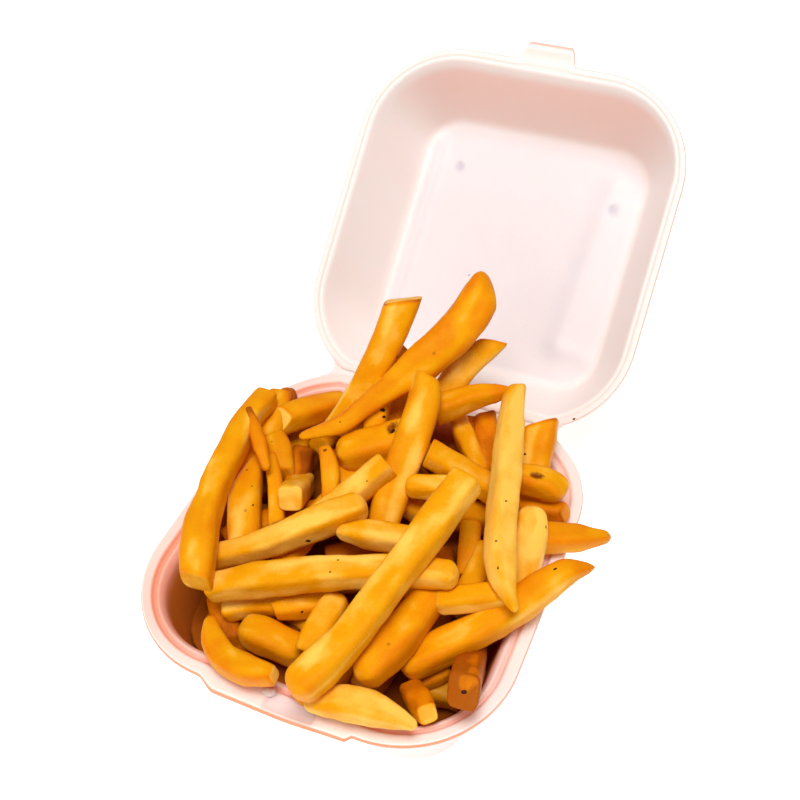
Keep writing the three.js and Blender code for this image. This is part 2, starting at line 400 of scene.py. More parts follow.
def half_profile(rim):
    """(inset, height) from the outside's panel, up round the rim and down the inside."""
    rim = np.array(rim, float)
    panel = FOAM - HEIGHT
    inside = np.vstack((rim, [(WALL_RUN, panel), (WALL_RUN + PANEL_BEND, panel)]))
    slope = np.array((WALL_RUN, panel)) - rim[-1]
    away = np.array((slope[1], -slope[0])) / np.linalg.norm(slope) * FOAM
    under_rim = np.array((rim[-1][0] - 1.0, -FOAM - 0.6))
    wall_foot = np.array((WALL_RUN, panel)) + away
    foot = wall_foot + (wall_foot - (rim[-1] + away)) * (-HEIGHT - wall_foot[1]) / slope[1]
    outside = np.array([(WALL_RUN + PANEL_BEND, -HEIGHT), foot, under_rim + away, (0, -FOAM)])
    points = np.vstack((outside, inside))
    radii = [1.0] * len(points)
    radii[1] = PANEL_BEND + FOAM * 0.7
    radii[2] = 2.0
    radii[-2] = PANEL_BEND
    return subdivided(eased(points, radii), 1.6)


base_profile = half_profile(BASE_RIM)
lid_profile = half_profile(LID_RIM)
print("profiles of", len(base_profile), "and", len(lid_profile), "points")

# %% [markdown]
# ## Rings into a shell
# Each ring follows the outline at its own inset. The panels are closed by shrinking the last
# ring towards its middle, so that they have enough points for dimples and folds. A small
# function for each half then presses its details into the sheet: the latch lip and its slot,
# the tab, the dimples and the folds of the lid's panel.

# %% Meshes from rings


def mesh_object(name, points, faces, material):
    """A smooth-shaded mesh from points in millimetres."""
    mesh = bpy.data.meshes.new(name)
    mesh.from_pydata((np.asarray(points) * MM).tolist(), [], faces)
    mesh.shade_smooth()
    mesh.materials.append(material)
    piece = bpy.data.objects.new(name, mesh)
    bpy.context.scene.collection.objects.link(piece)
    return piece


def ring_faces(rings, count):
    """Quads between neighbouring rings of count points."""
    ring, i = np.meshgrid(np.arange(rings - 1), np.arange(count), indexing="ij")
    a = ring * count + i
    b = ring * count + (i + 1) % count
    return np.stack((a, b, b + count, a + count), -1).reshape(-1, 4).tolist()


def closed_faces(rings, count, turned):
    """ring_faces with both ends closed. turned shows every face's other side."""
    last = (rings - 1) * count
    faces = ring_faces(rings, count)
    faces.append(list(range(count))[::-1])
    faces.append(list(range(last, last + count)))
    return [f[::-1] for f in faces] if turned else faces


def set_values(piece, **values):
    """Stores numbers by name: one for each point of a mesh, or one for all its points."""
    for name, value in values.items():
        attribute = piece.data.attributes.new(name, "FLOAT", "POINT")
        each = np.broadcast_to(value, len(piece.data.vertices))
        attribute.data.foreach_set("value", each.astype(np.float32))

# %% Rings of a half
PANEL_RINGS = 34
IN_PANEL = 99.0  # the inset that the panels' own rings are given
WAVE = 0.22  # mm, how far the sheet strays from true
WAVES = ((0.028, 1.0), (0.09, 0.4))  # per mm, and share


def half_rings(profile, press):
    """Every ring of a half, from the middle of its outside to the middle of its inside."""
    middle = np.array((0.0, REACH / 2 + HINGE_GAP / 2))
    shares = np.linspace(0.0, 1.0, PANEL_RINGS)[1:-1]

    def panel(wall_ring, shares, k):
        flat, height = wall_ring[:2]
        return [(middle + (flat - middle) * s, height, IN_PANEL, k) for s in shares]

    wall = [(outline(max(inset, 0.0)), height, inset, k) for k, (inset, height) in enumerate(profile)]
    flats = panel(wall[0], shares, -1) + wall + panel(wall[-1], shares[::-1], len(profile))
    rings = []
    for flat, height, inset, k in flats:
        ring = np.column_stack((flat, np.full(len(flat), float(height))))
        rings.append(press(ring, inset, k / len(profile)))
    return np.array(rings), [(inset, height) for _, height, inset, _ in flats]


def wavy(points):
    """The sheet's slight unevenness."""
    shift = [sum(share * noise.noise(Vector(p) * scale) for scale, share in WAVES) for p in points]
    return points + np.array(shift)[:, None] * WAVE * np.array((0.5, 0.5, 1.0))

# %% A half from its rings


def shell(name, profile, press, place, tint):
    """One half: rings, details, unevenness, and its place in the box."""
    rings, insets = half_rings(profile, press)
    count = rings.shape[1]
    poles = np.array((rings[0].mean(0), rings[-1].mean(0)))
    faces = ring_faces(len(rings), count)
    pole = len(rings) * count
    last = pole - count
    for i in range(count):
        faces.append((pole, (i + 1) % count, i))
        faces.append((pole + 1, last + i, last + (i + 1) % count))
    flat = wavy(np.vstack((rings.reshape(-1, 3), poles)))
    piece = mesh_object(name, place(flat), faces, white_foam)
    inside_from = np.argmax(np.array(insets)[:, 1] > -0.01)
    # the three values of painted shade, ring by ring
    shades = {"edge": [], "oily": [], "grey": []}
    for k, (ring, (inset, height)) in enumerate(zip(rings, insets)):
        given = tint(ring[:, 0], ring[:, 1], inset, height, k >= inside_from)
        for values, shade in zip(shades.values(), given):
            values.append(np.broadcast_to(shade, count))
    for values in shades.values():
        values.append((values[0][0], values[-1][0]))
    set_values(piece, **{key: np.concatenate(values) for key, values in shades.items()})
    return piece


def in_base(points):
    """From a half's own frame to the base as it stands: turned round, its front at -y."""
    return np.column_stack((-points[:, 0], HINGE_Y - points[:, 1], points[:, 2] + RIM_Z))


def in_lid(points):
    """From a half's own frame to the lid, swung open."""
    c, s = math.cos(LID_TILT), math.sin(LID_TILT)
    y = points[:, 1] * c - points[:, 2] * s
    z = points[:, 1] * s + points[:, 2] * c
    return np.column_stack((points[:, 0], HINGE_Y + y, RIM_Z + z))

# %% [markdown]
# ## Base
# The base's rim has a flat band, a groove that seats the lid, and a low ledge. In front a lip
# stands out of the band, with a slot for the lid's tab. On the real box these are pressed with
# the sheet, so here they move the same rings: the lip pushes the band outwards, the slot pushes
# it down.

# %% Base
CUT_EDGE = 0.4  # mm in from the rim's edge
LIP_START = (-29.0, -20.0)  # the lip swells out of the rim between these places
LIP_END = (26.6, 28.8)
LIP_OUT = 3.6
LIP_LESS = 1.5  # how much less it stands out at its right end
SLOT_X = 6.0
SLOT_HALF = 8.5
SLOT_DEEP = 1.5
SLOT_INSET = 2.4
# shares of pink on the base's inside: all is the foam's own tint, the rest is painted shade
PINK_SHADE = {"all": 0.18, "front": 0.13, "left": 0.14, "groove": 0.55, "front groove": 0.2, "ledge": 0.5}
# grey of painted shade in the latch slot
SLOT_SHADE = 0.45


def smooth_step(value, low, high):
    t = np.clip((value - low) / (high - low), 0, 1)
    return t * t * (3 - 2 * t)


def plateau(value, half, soft):
    """1 within half of zero, 0 past half + soft."""
    return 1 - smooth_step(np.abs(value), half, half + soft)


def at_latch(y):
    """1 in the front edge, where the latch is, 0 behind it."""
    return smooth_step(y, REACH - 14, REACH - 9)


def press_base(ring, inset, share):
    """The latch lip and its slot. A half is turned round later, so its right is at -x here."""
    x, y = -ring[:, 0], ring[:, 1]
    at_front = at_latch(y)
    lip = smooth_step(x, *LIP_START) * (1 - smooth_step(x, *LIP_END)) * at_front
    reach = max(0.0, 1 - inset / BAND)
    ring[:, 1] += (LIP_OUT - LIP_LESS * smooth_step(x, 2, 30)) * reach * lip
    top_side = share > 0.4
    if top_side and 0.6 < inset < 4.2:
        slot = plateau(x - SLOT_X, SLOT_HALF, 0.8) * at_front
        ring[:, 2] -= SLOT_DEEP * slot * (1 - abs(inset - SLOT_INSET) / 1.8) ** 0.5
    return ring


def bump_at(value, centre, half):
    """1 at centre, falling smoothly to 0 at half to each side."""
    return float(1 - smooth_step(abs(value - centre), 0.35 * half, half))


def tint_base(x, y, inset, height, inner):
    """Painted shade, and on the left the fries' orange light: pinker at the rim's cut edge, in its
    groove and under its ledge; browner down the inner wall; grey in the slot.
    """
    if not inner:
        # the cut edge is pinker and, in front, browner: painted shade under the rim
        cut_edge = float(inset < CUT_EDGE)
        return cut_edge, 0.5 * cut_edge * smooth_step(y, REACH - 30, REACH - 6), 0.0
    left = smooth_step(x, 30, 64)
    front = smooth_step(y, REACH - 40, REACH - 8)
    groove, ledge = bump_at(inset, 5.7, 2.0), bump_at(inset, 8.6, 1.6)
    # painted shade, with the orange light of the fries on the left
    pink_shade = PINK_SHADE["all"] + PINK_SHADE["front"] * front + PINK_SHADE["left"] * left
    pink_shade = pink_shade + (PINK_SHADE["groove"] + PINK_SHADE["front groove"] * front) * groove + PINK_SHADE["ledge"] * ledge
    pink_shade = pink_shade * (0.85 + 0.5 * left) + 0.6 * float(smooth_step(-height, 1.6, 3.6))
    # painted shade down the inner wall, browner as it goes down
    wall_shade = 0.3 * left * groove + 0.97 * float(smooth_step(-height, 1.6, 9.0))
    slot = plateau(-x - SLOT_X, SLOT_HALF, 1.5) * at_latch(y) * bump_at(inset, SLOT_INSET, 2.4)
    return np.minimum(pink_shade, 1.0), wall_shade, SLOT_SHADE * slot


foam_base = shell("foam_base", base_profile, press_base, in_base, tint_base)
print("foam_base", len(foam_base.data.vertices), "points")

# %% [markdown]
# ## Tongue
# Beside the slot a small flap of the sheet stands up, no bigger than a fingernail's tip. It is a
# thin plate with an uneven outline, set on the inner edge of the rim's band.

# %% Tongue
TONGUE = [(-5.4, -71.0), (-4.3, -69.2), (-2.4, -68.9), (-0.6, -68.2), (-0.2, -69.9), (-2.2, -71.3)]
TONGUE_RINGS = ((0.3, 42.5), (0.9, 42.5), (1.0, 43.4), (0.92, 44.2), (0.3, 44.2))  # share, height
TONGUE_LEAN = 0.25  # how much higher its inner side stands, for each millimetre


def tongue():
    flat = np.array(TONGUE)
    middle = flat.mean(0)
    rings = []
    for share, height in TONGUE_RINGS:
        outer = middle + (flat - middle) * share
        lean = (outer[:, 1] - middle[1]) * TONGUE_LEAN
        rings.append(np.column_stack((outer, height + lean)))
    faces = closed_faces(len(rings), len(flat), turned=True)
    return mesh_object("foam_tongue", np.concatenate(rings), faces, white_foam)


foam_tongue = tongue()
# a pinker tint on the flap, painted shade
set_values(foam_tongue, edge=0.3, oily=0.0, grey=0.0)
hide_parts("base")
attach(foam_tongue, "base")
print("foam_tongue", [round(v / MM, 1) for v in foam_tongue.dimensions], "mm")

# %% [markdown]
# ## Lid
# The lid is the same half with a narrower rim. A tab stands out of its front edge and would hook
# into the base's slot. Its panel has two small dimples from the mould, and soft folds along its
# length.

# %% Lid
TAB_X = 2.5
TAB_ROOT_HALF = 12.5
TAB_TIP_HALF = 8.8
TAB_OUT = 8.0
TAB_INSET = 3.0  # the tab is drawn out of this much of the rim
DIMPLES = [(-34.5, 106.8), (39.4, 101.8)]
DIMPLE_RADIUS = 2.6
DIMPLE_DEEP = 0.7
# grey of painted shade over the lid's panel
PANEL_SHADE = 0.5
FOLDS = [  # from, to, how wide, how high
    ((37, 112), (32, 36), 4.8, 0.85),
    ((-46, 116), (-47, 40), 3.2, 1.7),
    ((33, 37), (54, 33), 4, 0.6),
]


def distance_to_line(x, y, a, b):
    """How far points are from the stretch between a and b."""
    a, b = np.array(a, float), np.array(b, float)
    along = b - a
    t = np.clip(((x - a[0]) * along[0] + (y - a[1]) * along[1]) / (along @ along), 0, 1)
    return np.hypot(x - a[0] - t * along[0], y - a[1] - t * along[1])


def press_lid(ring, inset, share):
    """The tab, the dimples and the folds."""
    x, y = ring[:, 0].copy(), ring[:, 1].copy()
    tab = 1 - smooth_step(np.abs(x - TAB_X), TAB_TIP_HALF, TAB_ROOT_HALF)
    reach = max(0.0, 1 - inset / TAB_INSET)
    ring[:, 1] += TAB_OUT * reach * tab * at_latch(y)
    if share > 0.8:
        for cx, cy in DIMPLES:
            away = np.hypot(x - cx, y - cy)
            ring[:, 2] -= DIMPLE_DEEP * (1 - smooth_step(away, 0.3 * DIMPLE_RADIUS, DIMPLE_RADIUS))
        for a, b, wide, high in FOLDS:
            away = distance_to_line(x, y, a, b)
            ring[:, 2] += high * np.exp(-((away / wide) ** 2))
    return ring


def tint_lid(x, y, inset, height, inner):
    """Painted shade: pinker at the cut edge, in the narrow groove and on the front wall; grey over
    the panel, more in the dimples and beside the folds.
    """
    if not inner:
        # painted shade along the cut edge
        return 0.8 * float(inset < CUT_EDGE), 0.0, 0.0
    if inset < IN_PANEL:
        # painted shade on the front wall, and in the narrow groove
        front = smooth_step(y, REACH - 34, REACH - 8) * smooth_step(-height, 3.0, 9.0)
        front = front * (1 - smooth_step(inset, 16.5, 20))
        rim = 0.14 * float(inset < 2.8) + 0.15 * bump_at(inset, 3.2, 0.9)
        rim = rim + 0.22 * smooth_step(y, REACH, REACH + 3)  # the tab
        return rim + 0.47 * front, 0.0, PANEL_SHADE * smooth_step(inset, 17, 23)
    # painted shade: the panel greyed, more in the dimples and beside the folds
    grey = np.full(len(x), PANEL_SHADE)
    for cx, cy in DIMPLES:
        away = np.hypot(x - cx, y - cy) / DIMPLE_RADIUS
        grey += 0.5 * (1 - smooth_step(away, 0.4, 1.4))
    for a, b, wide, high in FOLDS:
        beside = distance_to_line(x + wide, y, a, b)
        grey += 0.07 * high * np.exp(-((beside / wide) ** 2))
    return 0.0, 0.0, grey


foam_lid = shell("foam_lid", lid_profile, press_lid, in_lid, tint_lid)
print("foam_lid", len(foam_lid.data.vertices), "points")

for piece, body, node in ((foam_base, "base", "base"), (foam_lid, "lid", "lid")):
    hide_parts(node)
    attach(piece, body)

# %% [markdown]
# ## Hinge
# The two halves are one sheet, joined by a strip that is pressed thin and creased so that it can
# fold. Its ends run in a soft hollow from one rounded corner to the other. The strip is built as it
# lies at rest, bent by the lid's tilt: every point of it is turned about the hinge line by its own
# share of the lid's turn.

# %% Hinge
HINGE_HALF = 53.0  # where the strip meets the corners' edges
HINGE_HOLLOW = 3.6  # how far the middle of each end lies back
HINGE_OVERLAP = 0.35
HINGE_THICK = (2.1, 1.3)  # at the bands, at the fold
CREASES = (-0.62, 0.0, 0.62)  # across the strip, as shares of its half width
CREASE_DEEP = 0.7
CREASE_WIDE = 0.42
HINGE_ACROSS = 25
HINGE_ALONG = 121


def edge_distance(x):
    """How far a half's rim edge is from the hinge line at this x."""
    angle_x = np.clip(np.abs(x) - (WIDTH / 2 - RIM_CORNER), 0, RIM_CORNER)
    round_y = HINGE_GAP - HINGE_CUT + RIM_CORNER - np.sqrt(RIM_CORNER**2 - angle_x**2)
    return np.maximum(HINGE_GAP, round_y)


def hinge_strip():
    along = np.linspace(-1, 1, HINGE_ALONG)
    across = np.linspace(-1, 1, HINGE_ACROSS)
    rings = []
    for u in along:
        reach = edge_distance(np.array([u * HINGE_HALF]))[0] + HINGE_OVERLAP
        x = u * (HINGE_HALF - HINGE_HOLLOW * (1 - across**2) * abs(u) ** 14)
        t = (across + 1) / 2
        start = np.array((-reach, 0.0))
        end = np.array((math.cos(LID_TILT), math.sin(LID_TILT))) * reach
        line = (1 - t)[:, None] ** 2 * start + t[:, None] ** 2 * end
        turn = LID_TILT * t
        normal = np.stack((-np.sin(turn), np.cos(turn)), 1)
        crease = sum(np.exp(-(((across - c) * reach / CREASE_WIDE) ** 2)) for c in CREASES)
        top = line - normal * (CREASE_DEEP * crease * (1 - across**8))[:, None]
        thick = HINGE_THICK[1] + (HINGE_THICK[0] - HINGE_THICK[1]) * np.abs(across) ** 2
        bottom = line - normal * thick[:, None]
        ring = np.vstack((np.column_stack((x, top)), np.column_stack((x, bottom))[::-1]))
        rings.append(ring)
    rings = np.array(rings)
    count = rings.shape[1]
    points = rings.reshape(-1, 3) + np.array((0, HINGE_Y, RIM_Z))
    faces = [f[::-1] for f in ring_faces(len(rings), count)]
    last = (len(rings) - 1) * count
    for i in range(HINGE_ACROSS - 1):
        j = count - 1 - i
        faces.append((i, i + 1, j - 1, j))
        faces.append((last + i, last + j, last + j - 1, last + i + 1))
    return mesh_object("foam_hinge", points, faces, white_foam)


foam_hinge = hinge_strip()
# a faint pink of painted shade in the creased strip
set_values(foam_hinge, edge=0.18, oily=0.0, grey=0.0)
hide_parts("hinge")
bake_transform(foam_hinge)
print("foam_hinge", len(foam_hinge.data.vertices), "points")

# %% [markdown]
# ## Laying out the heap
# A heap looks right when each fry lies where it was seen to lie. So the fries on top are laid out
# in the camera's view: every one has a line of points along its middle, in the view's pixels, and
# its widths in millimetres. What the view can't tell is how far away a fry is. The next cells find
# that by resting the fries on the heap and on each other. A width is written as it is at the
# view's mean depth, and is scaled with the depth at which the fry comes to rest. Two simple things
# stand for the rest of the object here: a smooth dome for the heap's mean height, and a map that
# holds the height of the box's inside at every millimetre.

# %% The view
def turn_matrix(x, y, z):
    cx, sx, cy, sy, cz, sz = (f(a) for a in (x, y, z) for f in (math.cos, math.sin))
    about_x = np.array(((1, 0, 0), (0, cx, -sx), (0, sx, cx)))
    about_y = np.array(((cy, 0, sy), (0, 1, 0), (-sy, 0, cy)))
    about_z = np.array(((cz, -sz, 0), (sz, cz, 0), (0, 0, 1)))
    return about_z @ about_y @ about_x


FOCAL = FRAME_SIDE * LENS / SENSOR  # pixels
VIEW = turn_matrix(*EYE_TURN)


def sight(pixels):
    """The lines of sight through pixels, each one unit deep."""
    pixels = np.asarray(pixels, float)
    x = (pixels[..., 0] - FRAME_SIDE / 2) / FOCAL
    y = (FRAME_SIDE / 2 - pixels[..., 1]) / FOCAL
    return np.stack((x, y, -np.ones(x.shape)), -1) @ VIEW.T


def seen(points):
    """The pixel and the depth at which points are seen."""
    local = (np.asarray(points) - EYE) @ VIEW
    depth = -local[..., 2]
    x = FRAME_SIDE / 2 + FOCAL * local[..., 0] / depth
    y = FRAME_SIDE / 2 - FOCAL * local[..., 1] / depth
    return np.stack((x, y), -1), depth


print("focal length", FOCAL, "pixels")

# %% The mound
MOUND_EDGE = -9.0  # height at the walls, from the rim
MOUND_RISE = 21.0
MOUND_MIDDLE = (4.0, 16.0)
MOUND_REACH = (70.0, 73.0)
LEDGE_INSET = 9.5  # mm from the rim's edge to the top of the leaning wall
LEDGE_DROP = 3.2  # how far that lies under the rim


def mound(x, y):
    """The heap's mean height."""
    across = (x - MOUND_MIDDLE[0]) / MOUND_REACH[0]
    along = (y - MOUND_MIDDLE[1]) / MOUND_REACH[1]
    away = np.minimum(1, np.hypot(across, along) / 1.15)
    return RIM_Z + MOUND_EDGE + MOUND_RISE * (1 - away**2)


NO_BOX = -50.0  # the height written where there is no box
MAP_X = np.arange(-90, 91.0)
MAP_Y = np.arange(-90, 101.0)
MAP = np.stack(np.meshgrid(MAP_X, MAP_Y, indexing="ij"), -1)


def inside(polygon, places):
    """Which places lie inside a closed outline."""
    x, y = places[..., 0], places[..., 1]
    found = np.zeros(x.shape, bool)
    for (xa, ya), (xb, yb) in zip(polygon, np.roll(polygon, 1, axis=0)):
        crosses = (ya > y) != (yb > y)
        found ^= crosses & (x < (xb - xa) * (y - ya) / (yb - ya + 1e-12) + xa)
    return found


def base_outline(inset):
    flat = outline(inset)[::4]
    return np.stack((-flat[:, 0], HINGE_Y - flat[:, 1]), 1)


def wall_inset(height):
    """How far in from the rim's edge the inner wall is at this height."""
    share = (RIM_Z - LEDGE_DROP - height) / (RIM_Z - LEDGE_DROP - FOAM)
    return LEDGE_INSET + (WALL_RUN - LEDGE_INSET) * min(1.0, share)


def room_heights():
    """The height of the box's inside at each place of the map."""
    heights = np.full(MAP.shape[:2], NO_BOX)
    heights[inside(base_outline(0), MAP)] = RIM_Z
    for height in np.arange(RIM_Z - LEDGE_DROP, FOAM - 1, -1.5):
        heights[inside(base_outline(wall_inset(height)), MAP)] = height
    return heights


room = room_heights()
print("mound from", RIM_Z + MOUND_EDGE, "to", RIM_Z + MOUND_EDGE + MOUND_RISE, "mm")

# %% [markdown]
# ## The fries that are seen
# From the bottom of the heap to the top. `tone` runs from 0, pale, to 1, brown; fries that lie low
# or in the gaps have darker tones, which are painted shade. `ends` says how the fry's first and
# last end are shaped: a knife's cut, rounded, or drawn out to a point.
# `slants` says how far a cut leans, longer to its right, and `tilts` how far it looks at the
# viewer. `crisp` browns an end, `rims` only its cut's outline, and `faces` its cut face, which is
# paler than the crust when nothing is said. A fry lies with a face up; `roll` turns it about its
# own length, and None turns a face to the viewer. `lift` raises the middle of a fry over the
# mound. `heights` are for those that stand out of the heap: the heights of their two ends.

# %% A list of fries
SHOWN = []


def fry(name, path, widths, **options):
    SHOWN.append({"name": name, "path": path, "widths": widths, **options})

# %% Deep in the gaps
# These lie in the heap's gaps; their dark tones are painted shade.
fry("deep between tall", [(409, 351), (395, 368), (378, 392)], (8.5, 10.5, 10), tone=0.75,
    heights=(62, 50))
fry("deep left hole", [(305, 450), (300, 468), (290, 500)], (9, 10, 9), tone=0.95, lift=-9)
fry("under mid", [(326, 557), (362, 552), (408, 560)], (8, 9.5, 8.5), tone=0.6, lift=-5)
fry("under stub 22", [(392, 500), (416, 510), (442, 530)], (9, 10, 9), tone=0.55, lift=-4)
fry("deep right of long", [(430, 512), (468, 517), (515, 522)], (12, 13, 12), tone=0.5)
fry("beside the slit", [(471, 524), (469, 547), (466, 578)], (8, 8.5, 8), tone=0.6)
fry("right dark under end", [(498, 498), (535, 508), (566, 513)], (8.5, 9, 7.5), tone=0.6)
fry("behind top 24b", [(472, 420), (475, 436), (479, 458)], (7, 8.5, 8), tone=0.75)
fry("behind top 25", [(485, 417), (486, 438), (489, 475)], (9, 9, 8.5), tone=0.7)
fry("behind top 24", [(456, 414), (465, 438), (482, 475)], (7, 8.5, 7.5), tone=0.45)
fry("between 43b", [(490, 548), (478, 572), (462, 604)], (10, 10.5, 10), tone=0.45)
fry("under 33", [(398, 602), (385, 622), (372, 645)], (8.5, 9, 8.5), tone=0.7)
fry("dark corner scrap", [(416, 686), (433, 677), (450, 668)], (7, 8, 7), tone=0.8)

# %% At the back, and those that stand up
fry("back bump", [(291, 389), (287, 402), (280, 430)], (7, 8, 8.5), tone=0.65, ends="round cut",
    crisp=(0.5, 0))
fry("left under edge", [(262, 430), (253, 452), (240, 490)], (8, 9.5, 9), tone=0.75)
fry("left top", [(282, 394), (277, 412), (270, 440)], (9.5, 12, 12), tone=0.5, crisp=(0.4, 0))
fry("left under cream", [(273, 437), (280, 453), (283, 476)], (9, 10, 9), tone=0.5)
# Its cut face is paler than a cut's own colour: partly real, partly painted light.
fry("top left cream end", [(276, 423), (302, 413), (345, 403)], (11.5, 12, 10.5), tone=0.55,
    crisp=(-0.3, 0), faces=(-1.8, 0), slants=(-0.55, None), tilts=(0.8, 0), rims=(0.4, 0.3))
fry("round end 21", [(406, 391), (396, 412), (381, 452)], (11, 12.5, 11.5), tone=0.65,
    ends="round cut")
fry("tall fifteen", [(494, 341), (477, 355), (461, 371), (441, 400)], (8.5, 10.5, 11, 11.5),
    tone=0.3, roll=None, heights=(74, 60), slants=(0.83, None), rims=(0.6, 0.3))
fry("tall left", [(404, 299), (393, 327), (378, 361), (357, 398), (334, 432)],
    (13.5, 12.5, 11.5, 10.5, 10), tone=0.33, roll=None, heights=(94, 52), rims=(1.3, 0.3),
    slants=(0.57, None))
fry("sixteen", [(513, 391), (496, 393), (472, 398), (436, 410)], (3.5, 7.5, 10.5, 13), tone=0.42,
    heights=(68, 62), ends="point cut", crisp=(0.6, 0))
fry("band nineteen", [(366, 398), (361, 416), (352, 440)], (8, 9, 8), tone=0.4, lift=0)
fry("band twenty", [(386, 380), (379, 402), (374, 440)], (8.5, 9.5, 9), tone=0.3, lift=0)
fry("tall right",
    [(491, 281), (477, 305), (453, 335), (420, 364), (391, 387), (365, 406), (340, 424), (299, 437)],
    (12.5, 15, 15.5, 14.5, 10.5, 7.5, 7, 3), tone=0.56, roll=None, heights=(98.5, 60),
    ends="round point", slants=(-0.75, None), rims=(0.9, 0))

# %% In the middle
fry("blob eighteen", [(336, 456), (362, 450), (410, 436)], (12, 16, 15), tone=0.45,
    ends="round cut")
fry("small upright 19", [(323, 446), (329, 463), (331, 482), (329, 504)], (4.5, 7, 7.5, 6),
    tone=0.55, ends="round cut")
fry("left inner upright", [(263, 452), (251, 478), (245, 504), (244, 552)], (3, 10.5, 13.5, 12.5),
    tone=0.4, ends="point cut")
fry("narrow eleven", [(270, 456), (275, 482), (277, 526)], (4.5, 6, 6.5), tone=0.5)
fry("square end twelve", [(290, 499), (303, 484)], (12.2, 11.5), tone=0.3, heights=(54, 36),
    free=(0.3, 1), slants=(0, 0))
fry("centre upright", [(427, 375), (424, 400), (414, 432), (403, 465), (390, 498), (377, 546)],
    (10, 12.5, 13.5, 13.5, 13, 12), tone=0.42, roll=-18, slants=(-0.4, None))
fry("stub 23", [(428, 452), (455, 468), (500, 494)], (11.5, 12, 11.5), tone=0.35)
fry("stub 22", [(405, 486), (450, 488)], (9, 9.5), tone=0.35, ends="round cut")

# %% On the right
fry("right top 26", [(542, 423), (537, 444), (529, 486)], (12, 14.5, 12.5), tone=0.45,
    heights=(60, 47), slants=(0.55, None), rims=(0.9, 0.3))
fry("right hollow 27", [(498, 475), (530, 480), (551, 486), (564, 497)], (10.5, 12.5, 13, 11.5),
    tone=0.5, ends="cut round")
fry("right tip upper", [(516, 540), (548, 538), (580, 538), (611, 537)], (12, 12.5, 11, 4.5),
    tone=0.55, ends="cut point", crisp=(0, 0.7))
fry("right end 29", [(530, 506), (531, 540), (516, 590)], (10.5, 13, 12), tone=0.15,
    ends="round cut")
# Its near-black tone is painted shade.
fry("dark end 41", [(477, 634), (471, 662), (463, 692)], (9, 12.5, 13.5), tone=1.05,
    slants=(None, -0.3), tilts=(0, 0.5), rims=(0.3, 0.5), faces=(0, 0.2))
fry("right tip lower",
    [(595, 567), (567, 572), (545, 585), (518, 606), (485, 627), (450, 644), (400, 668)],
    (2.5, 11, 13.5, 14, 13.5, 15, 15), tone=0.42, ends="point round", crisp=(0.6, 0))

# %% In front
fry("fry 33", [(434, 594), (408, 626), (385, 653), (358, 680)], (13.5, 16, 16.5, 14), tone=0.55,
    ends="cut round")
fry("pale 32", [(433, 603), (460, 599), (508, 594)], (9.5, 11, 10.5), tone=0.25, ends="round cut")
fry("small end 40", [(411, 690), (420, 702), (428, 714)], (10, 11, 9), tone=0.65, faces=(0, -1))
# Its dark tone is painted shade.
fry("behind the crescent", [(218, 598), (225, 618), (236, 642)], (8, 9.5, 9), tone=0.8, lift=-8)
fry("crescent", [(210, 616), (214, 640), (225, 659), (247, 670), (275, 675)], (3.5, 9.5, 12, 13, 8),
    tone=0.55, ends="point cut", faces=(0, -1.2))
fry("pale strip 36", [(226, 612), (252, 606), (290, 606)], (8.5, 9, 8.5), tone=0.4)
fry("oval 35", [(240, 627), (262, 635), (304, 655)], (12.5, 14.5, 13), tone=0.36,
    ends="round round")
fry("speck 37", [(274, 611), (300, 607), (335, 602)], (7, 9.5, 9), tone=0.42)
fry("pale 38", [(343, 595), (331, 612), (319, 632), (309, 653)], (10.5, 13, 13, 12), tone=0.4,
    ends="round cut")
# Its brown tone is painted shadow, under the end of the long fry.
fry("brown under end", [(297, 676), (303, 688), (312, 698)], (9, 10, 9), tone=0.75,
    ends="round round")
fry("front crescent", [(304, 705), (322, 703), (344, 703), (372, 709), (398, 718), (417, 727)],
    (4, 11, 14, 13.5, 9, 3), tone=0.18, ends="round round")

# %% On top
fry("pale stub five", [(318, 520), (352, 494), (388, 464)], (11.5, 12, 11.5), tone=0.3)
fry("mid long", [(213, 557), (260, 545), (300, 530), (335, 516), (367, 504)],
    (10, 11, 13, 13.5, 11.5), tone=0.22, ends="cut round")
fry("pale 42", [(336, 532), (368, 534), (432, 545)], (5.5, 12, 11.5), tone=0.22, ends="round cut")
fry("lower long", [(210, 588), (260, 580), (330, 573), (395, 571), (459, 576)],
    (11.5, 14.5, 13.5, 12.5, 11.5), tone=0.3, heights=(51, 62), ends="cut round", slants=(0, None))
fry("left edge",
    [(268, 396), (247, 421), (230, 455), (219, 476), (210, 500), (203, 522), (199, 550), (196, 582)],
    (10, 11, 11.5, 11.5, 12.5, 14, 14.8, 13), tone=0.42, heights=(52, 50.5), slants=(None, -0.35))
fry("thin tip seven", [(248, 407), (254, 424), (260, 445), (267, 470)], (2, 5, 6, 3), tone=0.62,
    ends="point point", crisp=(0.9, 0))
fry("upright right",
    [(514, 390), (511, 420), (507, 460), (503, 500), (500, 540), (502, 575), (515, 612)],
    (8.5, 10.5, 12, 12.5, 13, 12, 3.5), tone=0.05, heights=(70, 62), ends="cut point",
    crisp=(0.5, 0.6), roll=-28, slants=(0.6, None))
fry("long front", [(468, 478), (430, 530), (386, 588), (346, 641), (318, 669), (291, 694)],
    (14, 15, 14.5, 14.8, 16.8, 16), tone=0.3, heights=(78, 59), ends="cut round", crisp=(0, 0.5),
    slants=(0, None))
print(len(SHOWN), "fries seen")

# %% [markdown]
# ## Resting the fries
# Each fry's two ends start at the depth of the mound. Then, for a hundred and more rounds, every
# pair of fries that overlap in the view is pushed apart where the upper one cuts into the lower,
# every fry is kept in front of the foam's walls, and a weak spring draws it back to the mound.
# What comes out is a loose heap in which every fry is seen exactly where it was drawn.

# %% Lines and widths
STATIONS = 41


